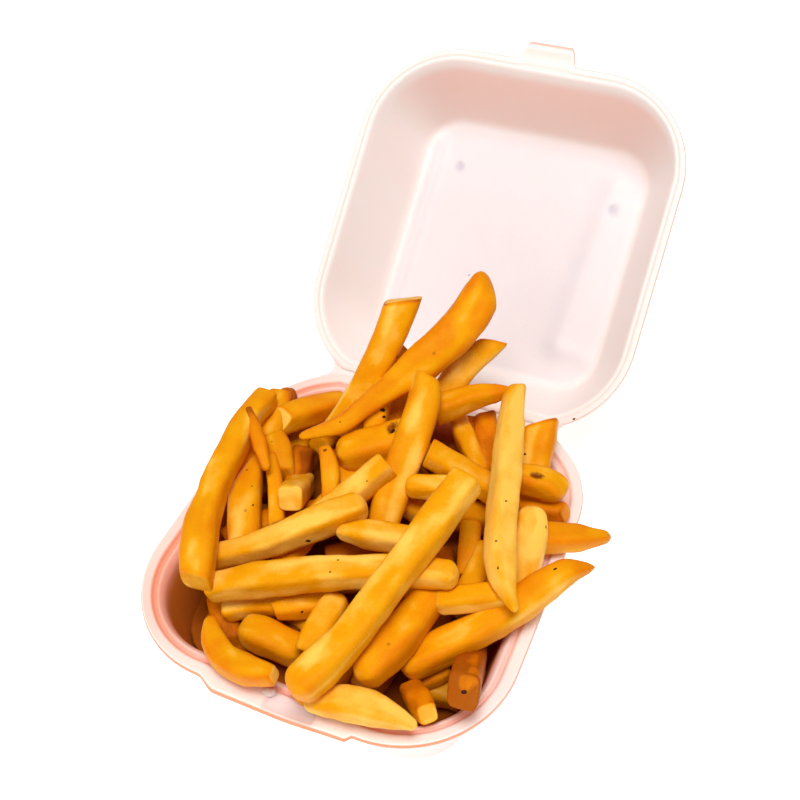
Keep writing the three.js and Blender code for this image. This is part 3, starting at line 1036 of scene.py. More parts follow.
def smooth_path(points, count):
    """A smooth line through points (Catmull-Rom), at even distances."""
    p = np.asarray(points, float)
    p = np.vstack((2 * p[0] - p[1], p, 2 * p[-1] - p[-2]))
    t = np.linspace(0, 1, 24, endpoint=False)[:, None]
    line = []
    for a, b, c, d in zip(p, p[1:], p[2:], p[3:]):
        curve = 2 * b + (c - a) * t + (2 * a - 5 * b + 4 * c - d) * t**2
        line.append(0.5 * (curve + (3 * b - a - 3 * c + d) * t**3))
    line = np.concatenate(line + [p[-2:-1]])
    return resample(line, count)


def lengths(line):
    return np.concatenate(((0,), np.cumsum(np.linalg.norm(np.diff(line, axis=0), axis=1))))


def resample(line, count):
    far = lengths(line)
    return columns_at(np.linspace(0, far[-1], count), far, line)


def columns_at(wanted, known, values):
    return np.stack([np.interp(wanted, known, column) for column in values.T], 1)


def spread(values, count):
    values = np.atleast_1d(np.asarray(values, float))
    return np.interp(np.linspace(0, 1, count), np.linspace(0, 1, len(values)), values)


def unit(vectors):
    return vectors / np.maximum(np.linalg.norm(vectors, axis=-1, keepdims=True), 1e-9)


def width_line(path, widths):
    """Widths at the drawn points, or evenly spread when there are fewer or more of them."""
    if np.size(widths) != len(path):
        return spread(widths, STATIONS)
    far = lengths(np.asarray(path, float))
    return np.interp(np.linspace(0, 1, STATIONS), far / far[-1], widths)

# %% Depths in the view
CELL = 3  # pixels, a cell of the view's depth maps
CELLS = FRAME_SIDE // CELL + 1
FAR = 1e4
DEPTHS = np.arange(250.0, 560.0)  # mm, from before the heap to behind it
MISSED = 480.0  # the depth for a line of sight that misses the mound


def depth_map(points, into=None):
    """The nearest depth seen in each cell of the view."""
    near = np.full((CELLS, CELLS), FAR) if into is None else into
    pixels, depth = seen(points.reshape(-1, 3))
    column, row = np.floor(pixels / CELL).astype(int).T
    ok = (column >= 0) & (column < CELLS) & (row >= 0) & (row < CELLS)
    np.minimum.at(near, (row[ok], column[ok]), depth[ok])
    return near


def map_points(heights, wanted, parts=3):
    """Points all over a height map, where wanted."""
    steps = np.linspace(0, 1, parts, endpoint=False)
    flat = MAP[wanted]
    return np.concatenate(
        [np.column_stack((flat + (dx, dy), heights[wanted])) for dx in steps for dy in steps]
    )


def depth_on_mound(pixel, lift):
    """Where the sight line of one pixel meets the mound raised by lift."""
    ray = sight(pixel)
    points = EYE + ray * DEPTHS[:, None]
    below = points[:, 2] <= mound(points[:, 0], points[:, 1]) + lift
    return DEPTHS[np.argmax(below)] if below.any() else MISSED

# %% A fry laid in the view
MEAN_DEPTH = 390.0  # mm, where widths are as written
LIFT = -3  # mm over the mound, unless a fry says another
NEAR_ENDS = (0.125, 0.875)  # the places along a fry that start on the mound
SPRING = 0.04
HELD = 0.25  # the spring of a fry whose heights are given
COVER_ALONG = 161
COVER_ACROSS = np.linspace(-0.92, 0.92, 13)  # its very edges may lie over anything


class Laid:
    """A fry in the view: its line, widths, and the depth of its two ends."""

    def __init__(self, spec):
        self.spec = spec
        self.line = smooth_path(spec["path"], STATIONS)
        self.widths = width_line(spec["path"], spec["widths"])
        self.rays = sight(self.line)
        self.stiff = HELD if "heights" in spec else SPRING
        if "heights" in spec:
            ends = (np.array(spec["heights"]) - EYE[2]) / self.rays[[0, -1], 2]
        else:
            two = self.line[[int(t * (STATIONS - 1)) for t in NEAR_ENDS]]
            near = 1 / np.array([depth_on_mound(p, spec.get("lift", LIFT)) for p in two])
            slope = (near[1] - near[0]) / (NEAR_ENDS[1] - NEAR_ENDS[0])
            ends = 1 / (near[0] + slope * (np.array((0, 1)) - NEAR_ENDS[0]))
        self.ends = ends.astype(float)
        self.home = self.ends.copy()
        self.cover()

    def cover(self):
        """The cells of the view that the fry covers, and its thickness in each."""
        along, even = np.linspace(0, 1, COVER_ALONG), np.linspace(0, 1, STATIONS)
        side = unit(np.gradient(self.line, axis=0))[:, ::-1] * (-1, 1)
        line, side = columns_at(along, even, self.line), columns_at(along, even, side)
        half = np.interp(along, even, self.widths) / 2
        reach = half[:, None] * COVER_ACROSS * FOCAL / MEAN_DEPTH
        pixels = line[:, None] + side[:, None] * reach[..., None]
        column, row = np.floor(pixels / CELL).astype(int).reshape(-1, 2).T
        self.cells, first = np.unique(row * CELLS + column, return_index=True)
        self.t = np.repeat(along, len(COVER_ACROSS))[first]
        round_off = (1 - np.tile(COVER_ACROSS, len(along))[first] ** 4) ** 0.25
        self.half = np.repeat(half, len(COVER_ACROSS))[first] * round_off
        if "free" in self.spec:
            low, high = self.spec["free"]
            kept = (self.t < low) | (self.t > high)
            self.cells, self.t, self.half = self.cells[kept], self.t[kept], self.half[kept]

    def depth(self, t):
        return 1 / ((1 - t) / self.ends[0] + t / self.ends[1])

    def nudge(self, t, amount):
        """Moves the fry at t by amount, with the smallest change of its ends."""
        shares = np.array((1 - t, t))
        self.ends += amount * shares / max(shares @ shares, 0.5)

# %% Coming to rest
TOUCH = 0.51  # how much of their thickness two touching fries keep
WALL_TOUCH = 0.9  # the same, of half a fry, at a wall
FEWEST_CELLS = 3  # fries that share fewer cells of the view don't count as a pair
ROUNDS = 160
EARLY = 0.75  # share of the rounds in which the springs pull in full
LATE_PULL = 0.15
MEND, WALL_MEND = 0.5, 0.7  # share of an overlap that one round takes away


def touching(laid):
    """Pairs that overlap in the view, the lower one first."""
    pairs = []
    for j, upper in enumerate(laid):
        for lower in laid[:j]:
            _, a, b = np.intersect1d(lower.cells, upper.cells, return_indices=True)
            if len(a) >= FEWEST_CELLS:
                need = TOUCH * (lower.half[a] + upper.half[b])
                pairs.append((lower, upper, lower.t[a], upper.t[b], need))
    return pairs


def rest(laid, walls):
    pairs = touching(laid)
    limits = []
    for one in laid:
        wall = walls.ravel()[one.cells]
        limits.append((one, one.t[wall < FAR], (wall - WALL_TOUCH * one.half)[wall < FAR]))
    for turn in range(ROUNDS):
        pull = 1.0 if turn < EARLY * ROUNDS else LATE_PULL
        worst = 0.0
        for one in laid:
            one.ends += pull * one.stiff * (one.home - one.ends)
        for lower, upper, a, b, need in pairs:
            short = need - (lower.depth(a) - upper.depth(b))
            k = np.argmax(short)
            if short[k] > 0:
                worst = max(worst, short[k])
                share = upper.stiff / (lower.stiff + upper.stiff)
                lower.nudge(a[k], MEND * short[k] * share)
                upper.nudge(b[k], -MEND * short[k] * (1 - share))
        for one, t, limit in limits:
            if len(t):
                over = one.depth(t) - limit
                k = np.argmax(over)
                if over[k] > 0:
                    one.nudge(t[k], -WALL_MEND * over[k])
    return len(pairs), worst


walls = depth_map(map_points(room, room > NO_BOX))
laid = [Laid(spec) for spec in SHOWN]
pairs, worst = rest(laid, walls)
print(pairs, "pairs rest; the deepest overlap left is", round(worst, 1), "mm")

# %% [markdown]
# ## Fries in space
# Depths turn the drawn lines into lines in space. A fry keeps a frame along its line: the line's
# direction, a face that looks up unless `roll` turns it, and the half thickness. A square bar that
# is turned looks wider than its face, so the drawn width is divided by how much wider. Two more
# things make it a fry and not a pipe: its ends, and a knife's slant at the cut ones.

# %% Fries in space
rng = np.random.default_rng(20)
CUT_END = ((0, 0.02), (0.01, 0.5), (0.03, 0.8), (0.12, 0.9), (0.4, 0.96), (0.95, 0.99), (1.8, 1))
ROUND_STEPS = 8
STEP = 1.7  # mm between the rings of a fry's body
SQUARE = 4.5  # 2 is round, more is squarer


def square_to(vectors, along):
    """The part of each vector that stands square to a line."""
    return unit(vectors - (vectors * along).sum(1, keepdims=True) * along)


class Fry:
    """A fry in space, ready for its skin."""

    def __init__(self, name, spine, half, towards, roll, tone, **options):
        self.name, self.spine, self.half, self.tone = name, spine, half, tone
        self.ends = options.get("ends", "cut cut").split()
        self.crisp = options.get("crisp", (0, 0))
        self.rims = options.get("rims", (0.3, 0.3))
        self.faces = options.get("faces", (-0.2, -0.2))
        self.slants = options.get("slants", (None, None))
        self.tilts = options.get("tilts", (0, 0))
        self.length = lengths(spine)[-1]
        along = unit(np.gradient(spine, axis=0))
        top = square_to(np.tile((0.0, 0.0, 1.0), (len(spine), 1)), along)
        self.towards = square_to(towards, along)
        angle = math.radians(roll or 0)
        self.facing = math.cos(angle) * top + math.sin(angle) * np.cross(along, top)
        if roll is None:
            self.facing = self.towards
        self.across = np.cross(along, self.towards)

    def spread_by_turn(self):
        """How much wider than its face the bar looks from where `towards` points."""
        straight_on = np.abs((self.facing * self.towards).sum(1))
        edge_on = np.sqrt(np.maximum(0, 1 - straight_on**2))
        power = SQUARE / (SQUARE - 1)
        return (straight_on**power + edge_on**power) ** (1 / power)


def to_fry(one):
    spec = one.spec
    depth = one.depth(np.linspace(0, 1, STATIONS))
    spine = EYE + depth[:, None] * one.rays
    half = one.widths / 2 * depth / MEAN_DEPTH
    keys = ("ends", "crisp", "rims", "faces", "slants", "tilts")
    options = {key: spec[key] for key in keys if key in spec}
    made = Fry(spec["name"], spine, half, -one.rays, spec.get("roll", 0), spec["tone"], **options)
    made.half = half / made.spread_by_turn()
    return made


seen_fries = [to_fry(one) for one in laid]
for one in seen_fries:
    first, last = one.spine[0], one.spine[-1]
    print("  %-20s %5.1f long, %s to %s" % (one.name, one.length, first.round(), last.round()))

# %% A fry's surface
AROUND = 36


def end_stations(kind, half):
    """Distances from the end and shares of the thickness there."""
    if kind == "cut":
        return list(CUT_END)
    reach = half * (0.9 if kind == "round" else 1.1)
    angles = np.linspace(0.03, math.pi / 2, ROUND_STEPS)
    return [(reach * (1 - math.cos(a)), math.sin(a)) for a in angles]


def fry_stations(one):
    """Distances along a fry at which it gets a ring, and the end shapes' shares there."""
    first = end_stations(one.ends[0], one.half[2])
    last = end_stations(one.ends[1], one.half[-3])
    scale = min(1.0, 0.45 * one.length / max(first[-1][0] + last[-1][0], 0.1))
    start = [(x * scale, f) for x, f in first]
    finish = [(one.length - x * scale, f) for x, f in last][::-1]
    gap = finish[0][0] - start[-1][0]
    steps = max(2, int(round(gap / STEP)))
    body = [(start[-1][0] + gap * i / steps, 1.0) for i in range(1, steps)]
    return np.array(start + body + finish)


def rough_skin(one, around, steps):
    """Points on a fry's skin, for resting others on it."""
    t, even = np.linspace(0, 1, steps), np.linspace(0, 1, STATIONS)
    spine, facing = columns_at(t, even, one.spine), columns_at(t, even, one.facing)
    half = np.interp(t, even, one.half)
    side = np.cross(unit(np.gradient(spine, axis=0)), unit(facing))
    angle = np.linspace(0, 2 * math.pi, around, endpoint=False)
    c, s = np.cos(angle), np.sin(angle)
    r = (np.abs(c) ** SQUARE + np.abs(s) ** SQUARE) ** (-1 / SQUARE)
    ring = (c * r)[:, None] * side[:, None] + (s * r)[:, None] * unit(facing)[:, None]
    return spine[:, None] + half[:, None, None] * ring


def skin_points(fries, around=20, steps=30):
    return np.concatenate([rough_skin(one, around, steps).reshape(-1, 3) for one in fries])


everything = skin_points(seen_fries)
print("seen fries reach from", everything.min(0).round(1), "to", everything.max(0).round(1))

# %% [markdown]
# ## Filling the heap
# Behind and under the fries that are drawn, the heap is filled with others. A place, a direction
# and a size are drawn with a fixed seed, and the fry is lifted from the core until it clears the
# fries around it. Of a batch of such tries the one that closes most of the gaps is kept. A place
# is refused when the fry would stick out of the mound, or be seen in front of a drawn fry.

# %% A place for a filler
TIGHT = 0.80  # how near two fries' middles may come, as a share of their thickness
LIFTS = np.arange(0.0, 24.0, 1.5)
LINE_STEP = 5  # every fifth station is enough to tell whether fries meet
FILLER_X, FILLER_Y = (-62, 62), (-66, 68)  # mm, where its middle may lie
FILLER_LENGTH, FILLER_HALF = (18, 58), (4.6, 6.2)
FILLER_SLOPE = 0.25
FILLER_BEND = 0.04  # as a share of its length


def map_index(x, y):
    i = np.clip(np.round(x - MAP_X[0]).astype(int), 0, len(MAP_X) - 1)
    j = np.clip(np.round(y - MAP_Y[0]).astype(int), 0, len(MAP_Y) - 1)
    return i, j


def view_index(points):
    pixels, depth = seen(points)
    column, row = np.clip(np.floor(pixels / CELL).astype(int), 0, CELLS - 1).T
    return (row, column), depth


def drawn_line(ground):
    """A line and a half thickness for a fry that lies on the core, and whether it fits the box."""
    x, y = rng.uniform(*FILLER_X), rng.uniform(*FILLER_Y)
    turn, slope = rng.uniform(0, math.pi), rng.normal() * FILLER_SLOPE
    length, half = rng.uniform(*FILLER_LENGTH), rng.uniform(*FILLER_HALF)
    t = np.linspace(-0.5, 0.5, STATIONS)
    along = np.array((math.cos(turn), math.sin(turn)))
    side = np.array((-along[1], along[0])) * rng.normal() * length * FILLER_BEND
    flat = np.array((x, y)) + along * (length * t)[:, None] + side * (1 - 4 * t**2)[:, None]
    places = map_index(flat[:, 0], flat[:, 1])
    rise = slope * length * t
    lowest = (ground[places] + half - rise).max()
    return np.column_stack((flat, lowest + rise)), half, places


def count_cells(cells, wanted):
    """How many different cells are wanted."""
    return np.unique(np.stack(cells)[:, wanted], axis=1).shape[1]


def clear_lifts(line, half, others, other_halves):
    """Which lifts of a line keep it clear of the fries already there."""
    few = line[::LINE_STEP]
    flat = ((few[:, None, :2] - others[None, :, :2]) ** 2).sum(2)
    need = (TIGHT * (half + other_halves)) ** 2
    near = (flat < need).any(0)
    if not near.any():
        return np.ones(len(LIFTS), bool)
    rise = few[:, None, 2] - others[None, near, 2]
    gap = flat[:, near] + (rise + LIFTS[:, None, None]) ** 2 - need[near]
    return gap.min((1, 2)) > 0

# %% The heap so far
CORE_DEEP = 23.0  # mm, from the mound down to the core
GAP_DEEP = 5.0  # how deep a filler lies where the view looks between fries
OVER = 1.5  # how far one may stand over the mound
IN_FRONT = 0.008  # share of a filler that may show where the view looks at a drawn fry
INTO_WALL = 4.0  # mm of height, which is one millimetre into the steep wall
CLOSES = 3.0  # mm, a gap is closed by a skin this much nearer than what showed in it
CHANCE = 30  # how much of a try's score is luck, so that the fillers aren't all alike
FINE_SKIN, ROUGH_SKIN = (28, 60), (16, 40)  # points around and along


class Heap:
    """What fills the box so far, as heights from above and as depths in the view."""

    def __init__(self, fries):
        skins = skin_points(fries, *FINE_SKIN)
        heap = mound(MAP[..., 0], MAP[..., 1])
        self.within = inside(base_outline(13.0), MAP)
        self.ground = np.where(self.within, np.maximum(room, heap - CORE_DEEP), room)
        view = depth_map(skins)
        deep = depth_map(map_points(heap - GAP_DEEP, self.within))
        self.nearest = np.where(view < FAR, view, deep) - 1.0
        self.shown = depth_map(map_points(self.ground, self.within), view.copy())
        self.top, self.piled = self.ground.copy(), self.ground.copy()
        np.maximum.at(self.top, map_index(skins[:, 0], skins[:, 1]), skins[:, 2])
        self.limit = np.maximum(heap + OVER, self.top - OVER)
        self.others = np.concatenate([one.spine[::LINE_STEP] for one in fries])
        self.other_halves = np.concatenate([one.half[::LINE_STEP] for one in fries])

    def tried(self, number):
        """A fry in a place drawn at random, and how much of the heap's gaps it closes."""
        line, half, places = drawn_line(self.ground)
        if not self.within[places].all():
            return 0, None
        fits = clear_lifts(line, half, self.others, self.other_halves)
        if not fits.any():
            return 0, None
        line[:, 2] += LIFTS[np.argmax(fits)]
        if (line[:, 2] + half > self.limit[places]).any():
            return 0, None
        one = Fry(f"filler {number}", line, np.full(STATIONS, half), EYE - line, 0, 0.5)
        skin = skin_points([one], *ROUGH_SKIN)
        cells, depth = view_index(skin)
        if (depth < self.nearest[cells]).mean() > IN_FRONT:
            return 0, None
        from_top = map_index(skin[:, 0], skin[:, 1])
        if (skin[:, 2] < room[from_top] - INTO_WALL).any():
            return 0, None
        looked_at = count_cells(cells, self.shown[cells] - depth > CLOSES)
        from_above = count_cells(from_top, skin[:, 2] - self.top[from_top] > CLOSES)
        fills = count_cells(from_top, skin[:, 2] - self.piled[from_top] > CLOSES)
        return looked_at + from_above + 0.5 * fills + CHANCE * rng.uniform(), one

    def lay(self, one):
        """Takes one more fry into the maps."""
        skin = skin_points([one], *FINE_SKIN)
        for heights in (self.top, self.piled):
            np.maximum.at(heights, map_index(skin[:, 0], skin[:, 1]), skin[:, 2])
        depth_map(skin, self.shown)
        self.others = np.vstack((self.others, one.spine[::LINE_STEP]))
        self.other_halves = np.append(self.other_halves, one.half[::LINE_STEP])

# %% Filling
FILLERS = 120
BATCH = 200  # tries for each
FILLER_UNEVEN = (0.86, 1.0)  # shares of its thickness, at five places along it
FILLER_ROLL = 40  # degrees, to either side
FILLER_TONE = (0.3, 0.75)


def fill(fries):
    heap = Heap(fries)
    found = []
    for number in range(FILLERS):
        best, bare = 0, None
        for _ in range(BATCH):
            score, one = heap.tried(number)
            if score > best:
                best, bare = score, one
        if bare is None:
            continue
        half = bare.half * spread(rng.uniform(*FILLER_UNEVEN, 5), STATIONS)
        roll, tone = rng.uniform(-FILLER_ROLL, FILLER_ROLL), rng.uniform(*FILLER_TONE)
        found.append(Fry(bare.name, bare.spine, half, bare.towards, roll, tone))
        heap.lay(found[-1])
    hidden = (heap.top > heap.ground + CLOSES)[heap.within].mean()
    print("share of the core that the fries cover from above:", round(float(hidden), 2))
    return found


fillers = fill(seen_fries)
print(len(fillers), "fillers")

# %% [markdown]
# ## Skin of a fry
# The skin is a sweep, the way a maker would model a cable or a rail: a section drawn once, drawn
# along each line. The section is a square with round corners. Geometry Nodes does it for all the
# lines of a kind at once. Each point of a line brings its own numbers: how thick the fry is, where
# it faces, and how its end is slanted. Then a soft ripple makes every fry a little uneven, as
# frying does. The tree also keeps a place that is counted along each fry and not in the room, so
# that the crust's streaks can follow the fry round a bend.

# %% Geometry helpers


def named(tree, name, kind="FLOAT"):
    node = add(tree, "GeometryNodeInputNamedAttribute", {"data_type": kind}, Name=name)
    return node.outputs["Attribute"]


def named_vector(tree, name):
    return named(tree, name, "FLOAT_VECTOR")


def vector_maths(tree, operation, first, second=None, scale=None):
    node = add(tree, "ShaderNodeVectorMath", {"operation": operation})
    connect(tree, node, 0, first)
    if second is not None:
        connect(tree, node, 1, second)
    if scale is not None:
        connect(tree, node, "Scale", scale)
    return node.outputs["Value" if operation in ("DOT_PRODUCT", "LENGTH") else "Vector"]


def stored(tree, geometry, name, value, kind="FLOAT"):
    """The geometry, with a value kept by name at each of its points."""
    settings = {"data_type": kind, "domain": "POINT"}
    node = add(tree, "GeometryNodeStoreNamedAttribute", settings, Geometry=geometry, Name=name)
    connect(tree, node, "Value", value)
    return node.outputs["Geometry"]


def moved(tree, geometry, **inputs):
    return add(tree, "GeometryNodeSetPosition", Geometry=geometry, **inputs).outputs["Geometry"]

# %% Section of a fry


def section_of_fry(tree, faces, squareness):
    """A square with round corners, and on it how near each point is to a corner."""
    circle = add(tree, "GeometryNodeCurvePrimitiveCircle", {"mode": "RADIUS"})
    connect(tree, circle, "Resolution", faces)
    place = tree.nodes.new("GeometryNodeInputPosition").outputs[0]
    parts = add(tree, "ShaderNodeSeparateXYZ", Vector=place).outputs
    x, y = maths(tree, "ABSOLUTE", parts["X"]), maths(tree, "ABSOLUTE", parts["Y"])
    total = maths(tree, "ADD", maths(tree, "POWER", x, squareness), maths(tree, "POWER", y, squareness))
    radius = maths(tree, "POWER", total, maths(tree, "DIVIDE", -1.0, squareness))
    corner = maths(tree, "MULTIPLY", maths(tree, "MULTIPLY", x, y), 2.0)
    # on a fry this value is how near a corner is; the foam's pink painted shade has the same name
    kept = stored(tree, circle.outputs["Curve"], "edge", corner)
    return moved(tree, kept, Position=vector_maths(tree, "SCALE", place, scale=radius))

# %% Sweep, lumps and grain
RIPPLE_SIZE = 0.0032  # m


def swept(tree, given):
    """The section drawn along each line, and leaned at its ends."""
    lines = add(tree, "GeometryNodeMeshToCurve", Mesh=given["Geometry"]).outputs["Curve"]
    turned = add(tree, "GeometryNodeSetCurveNormal", {"mode": "FREE"}, Curve=lines)
    connect(tree, turned, "Normal", named_vector(tree, "facing"))
    sweep = add(tree, "GeometryNodeCurveToMesh", Curve=turned.outputs["Curve"], Fill_Caps=True)
    connect(tree, sweep, "Profile Curve", section_of_fry(tree, given["Faces Around"], given["Squareness"]))
    connect(tree, sweep, "Scale", named(tree, "half"))
    place = tree.nodes.new("GeometryNodeInputPosition").outputs[0]
    out = vector_maths(tree, "SUBTRACT", place, named_vector(tree, "spine"))
    lean = vector_maths(tree, "DOT_PRODUCT", out, named_vector(tree, "slant"))
    slant = vector_maths(tree, "SCALE", named_vector(tree, "along"), scale=lean)
    return moved(tree, sweep.outputs["Mesh"], Offset=slant), place, out


def lumps(tree, place, given):
    """How far the skin strays in and out: broad lumps and a fine ripple."""
    offsets = []
    sizes = ((given["Lump Size"], given["Lump Height"]), (RIPPLE_SIZE, given["Ripple Height"]))
    for size, height in sizes:
        settings = {"noise_dimensions": "4D"}
        lump = add(tree, "ShaderNodeTexNoise", settings, Vector=place, W=named(tree, "seed"), Detail=1.0)
        connect(tree, lump, "Scale", maths(tree, "DIVIDE", 1.0, size))
        high = maths(tree, "MULTIPLY", height, 2.0)
        offsets.append(maths(tree, "MULTIPLY", centred(tree, lump.outputs[0]), high))
    return maths(tree, "MULTIPLY", maths(tree, "ADD", *offsets), named(tree, "body"))


def grain_place(tree, out):
    """A place on the fry counted along, up and across it, so that streaks follow it."""
    facing = named_vector(tree, "facing")
    side = vector_maths(tree, "CROSS_PRODUCT", named_vector(tree, "along"), facing)
    own = add(tree, "ShaderNodeCombineXYZ", X=named(tree, "far"))
    connect(tree, own, "Y", vector_maths(tree, "DOT_PRODUCT", out, facing))
    connect(tree, own, "Z", vector_maths(tree, "DOT_PRODUCT", out, side))
    shift = add(tree, "ShaderNodeCombineXYZ", X=named(tree, "seed"))
    return vector_maths(tree, "ADD", own.outputs[0], shift.outputs[0])

# %% Tree of the fries


def fry_tree():
    sockets = [
        ("Geometry", "NodeSocketGeometry", None),
        ("Faces Around", "NodeSocketInt", AROUND),
        ("Squareness", "NodeSocketFloat", SQUARE),
        ("Lump Height", "NodeSocketFloat", 0.0008),
        ("Lump Size", "NodeSocketFloat", 0.012),
        ("Ripple Height", "NodeSocketFloat", 0.0002),
        ("Material", "NodeSocketMaterial", None),
    ]
    made = [("Geometry", "NodeSocketGeometry")]
    tree, given, result = new_group("fries", "GeometryNodeTree", sockets, made)
    shaped, place, out = swept(tree, given)
    normal = tree.nodes.new("GeometryNodeInputNormal").outputs[0]
    offset = vector_maths(tree, "SCALE", normal, scale=lumps(tree, place, given))
    lumpy = moved(tree, shaped, Offset=offset)
    grained = stored(tree, lumpy, "grain", grain_place(tree, out), "FLOAT_VECTOR")
    outline_only = maths(tree, "MULTIPLY", named(tree, "edge"), named(tree, "rim"))
    edged = stored(tree, grained, "edge", outline_only)
    smooth = add(tree, "GeometryNodeSetShadeSmooth", Geometry=edged)
    real = add(tree, "GeometryNodeRealizeInstances", Geometry=smooth.outputs["Geometry"])
    dressed = add(tree, "GeometryNodeSetMaterial", Geometry=real.outputs["Geometry"])
    connect(tree, dressed, "Material", given["Material"])
    tree.links.new(dressed.outputs["Geometry"], result["Geometry"])
    return tree


fries_tree = fry_tree()
print("fries tree with", len(fries_tree.nodes), "nodes")

# %% [markdown]
# ## Crust
# Fried potato is pale gold on its faces, deeper along its edges where the crust is thickest, and
# brown at thin tips. Down in the heap the fries are painted almost red-brown, as painted shade. One
# shader group mixes these from four values that each fry brings: its tone, how near an edge is,
# how near a crisp end is, and how deep in the heap it lies, which darkens it as painted shade.
# Faint blotches and a few tiny burnt specks come on top.

# %% Crust colours
PALE = (0.95, 0.55, 0.085, 1)
GOLD = (0.80, 0.335, 0.002, 1)
ORANGE = (0.72, 0.20, 0.001, 1)
BROWN = (0.38, 0.085, 0.003, 1)
# the red-brown of painted shade down in the heap
HEAP_SHADE = (0.30, 0.045, 0.002, 1)
BURNT = (0.20, 0.045, 0.003, 1)

STREAKS = (45, 150, 150)  # per metre: long along the fry, narrow across it
BLOTCHES = 85.0
GRAIN = 900.0
SPECKS_APART = 260.0
SPECK_CHANCE = 0.03
CRUST_ROUGH = 0.33
CRUST_BUMP = 0.0003  # m
BROWNS = {"edge": 0.13, "streak": -0.36, "crisp": 0.45, "blotch": 0.75, "grain": 0.14}


def crust_tone(tree, shift, blotch, grain):
    """From 0, pale, to 1, brown."""
    streak_place = vector_maths(tree, "MULTIPLY", brought(tree, "grain", "Vector"), STREAKS)
    streak = soft_noise(tree, streak_place, 1.0, 1.5)
    tone = maths(tree, "ADD", brought(tree, "tone"), shift)
    tone = plus(tree, tone, maths(tree, "POWER", brought(tree, "edge"), 5.0), BROWNS["edge"])
    tone = plus(tree, tone, ramp(tree, streak, 0.42, 0.74), BROWNS["streak"])
    tone = plus(tree, tone, brought(tree, "crisp"), BROWNS["crisp"])
    tone = plus(tree, tone, centred(tree, blotch), BROWNS["blotch"])
    return plus(tree, tone, centred(tree, grain), BROWNS["grain"])


def crust_colour(tree, tone):
    stops = add(tree, "ShaderNodeValToRGB", Fac=tone)
    colours = ((0.0, PALE), (0.32, GOLD), (0.72, ORANGE), (1.0, BROWN))
    ends = stops.color_ramp.elements
    ends[0].position, ends[0].color = colours[0]
    ends[1].position, ends[1].color = colours[-1]
    for position, colour in colours[1:-1]:
        stops.color_ramp.elements.new(position).color = colour
    # painted shade: deeper in the heap, redder and darker
    return blend_colours(tree, brought(tree, "deep"), stops.outputs["Color"], HEAP_SHADE)


def tiny_specks(tree, place):
    """1 in a few small dots, 0 between them."""
    dots = add(tree, "ShaderNodeTexVoronoi", Vector=place, Scale=SPECKS_APART)
    chance = add(tree, "ShaderNodeSeparateColor", Color=dots.outputs["Color"]).outputs[0]
    rare = maths(tree, "GREATER_THAN", chance, 1 - SPECK_CHANCE)
    near = maths(tree, "SUBTRACT", 1.0, ramp(tree, dots.outputs["Distance"], 0.10, 0.22))
    return maths(tree, "MULTIPLY", rare, near)

# %% Crust group


def crust_group():
    inputs = [("Tone Shift", "NodeSocketFloat", 0.0), ("Speckle", "NodeSocketFloat", 0.5)]
    outputs = [
        ("Color", "NodeSocketColor"),
        ("Roughness", "NodeSocketFloat"),
        ("Height", "NodeSocketFloat"),
    ]
    tree, given, result = new_group("crust", "ShaderNodeTree", inputs, outputs)
    place = own_place(tree)
    blotch = soft_noise(tree, place, BLOTCHES, 2.5)
    grain = soft_noise(tree, place, GRAIN, 3.0)
    colour = crust_colour(tree, crust_tone(tree, given["Tone Shift"], blotch, grain))
    speck = maths(tree, "MULTIPLY", tiny_specks(tree, place), given["Speckle"])
    colour = blend_colours(tree, speck, colour, BURNT)
    burn = plus(tree, brought(tree, "burn"), centred(tree, grain), 0.5)
    colour = blend_colours(tree, ramp(tree, burn, 0.25, 1.0), colour, BURNT)
    tree.links.new(colour, result["Color"])
    tree.links.new(plus(tree, CRUST_ROUGH, grain, 0.25), result["Roughness"])
    tree.links.new(plus(tree, grain, blotch, 2.0), result["Height"])
    return tree


crust = crust_group()
print("crust group with", len(crust.nodes), "nodes")

# %% Crust materials


def fry_material(name, tone_shift, speckle):
    material, tree, shader = new_material(
        name,
        Subsurface_Weight=0.12,
        Subsurface_Radius=(1.0, 0.35, 0.08),
        Subsurface_Scale=0.003,
        Specular_IOR_Level=0.13,
        Specular_Tint=(1.0, 0.75, 0.30, 1),
    )
    settings = {"node_tree": crust}
    group = add(tree, "ShaderNodeGroup", settings, Tone_Shift=tone_shift, Speckle=speckle).outputs
    connect(tree, shader, "Base Color", group["Color"])
    connect(tree, shader, "Roughness", group["Roughness"])
    add_bump(tree, shader, group["Height"], CRUST_BUMP)
    return material


gold_crust = fry_material("golden crust", 0.0, 0.5)
dark_crust = fry_material("browned crust", 0.08, 0.8)
print("materials:", gold_crust.name, "and", dark_crust.name)

# %% [markdown]
# ## Making the fries
# The fries are sorted into kinds, one piece for each: long ones, short ones, dark ones, which are
# browned or lie in painted shade, those with a drawn-out tip, and those that fill the heap under
# them. For each kind the lines of all its fries go into one mesh of edges, the node tree sweeps
# them, and the result is kept as a plain mesh. The numbers that only the sweep needs are taken off
# again; those that the crust reads stay on the skin.

# %% Ends of a fry
SLANT = 0.15  # how far a cut usually leans
CRISP_REACH = 9.0  # mm


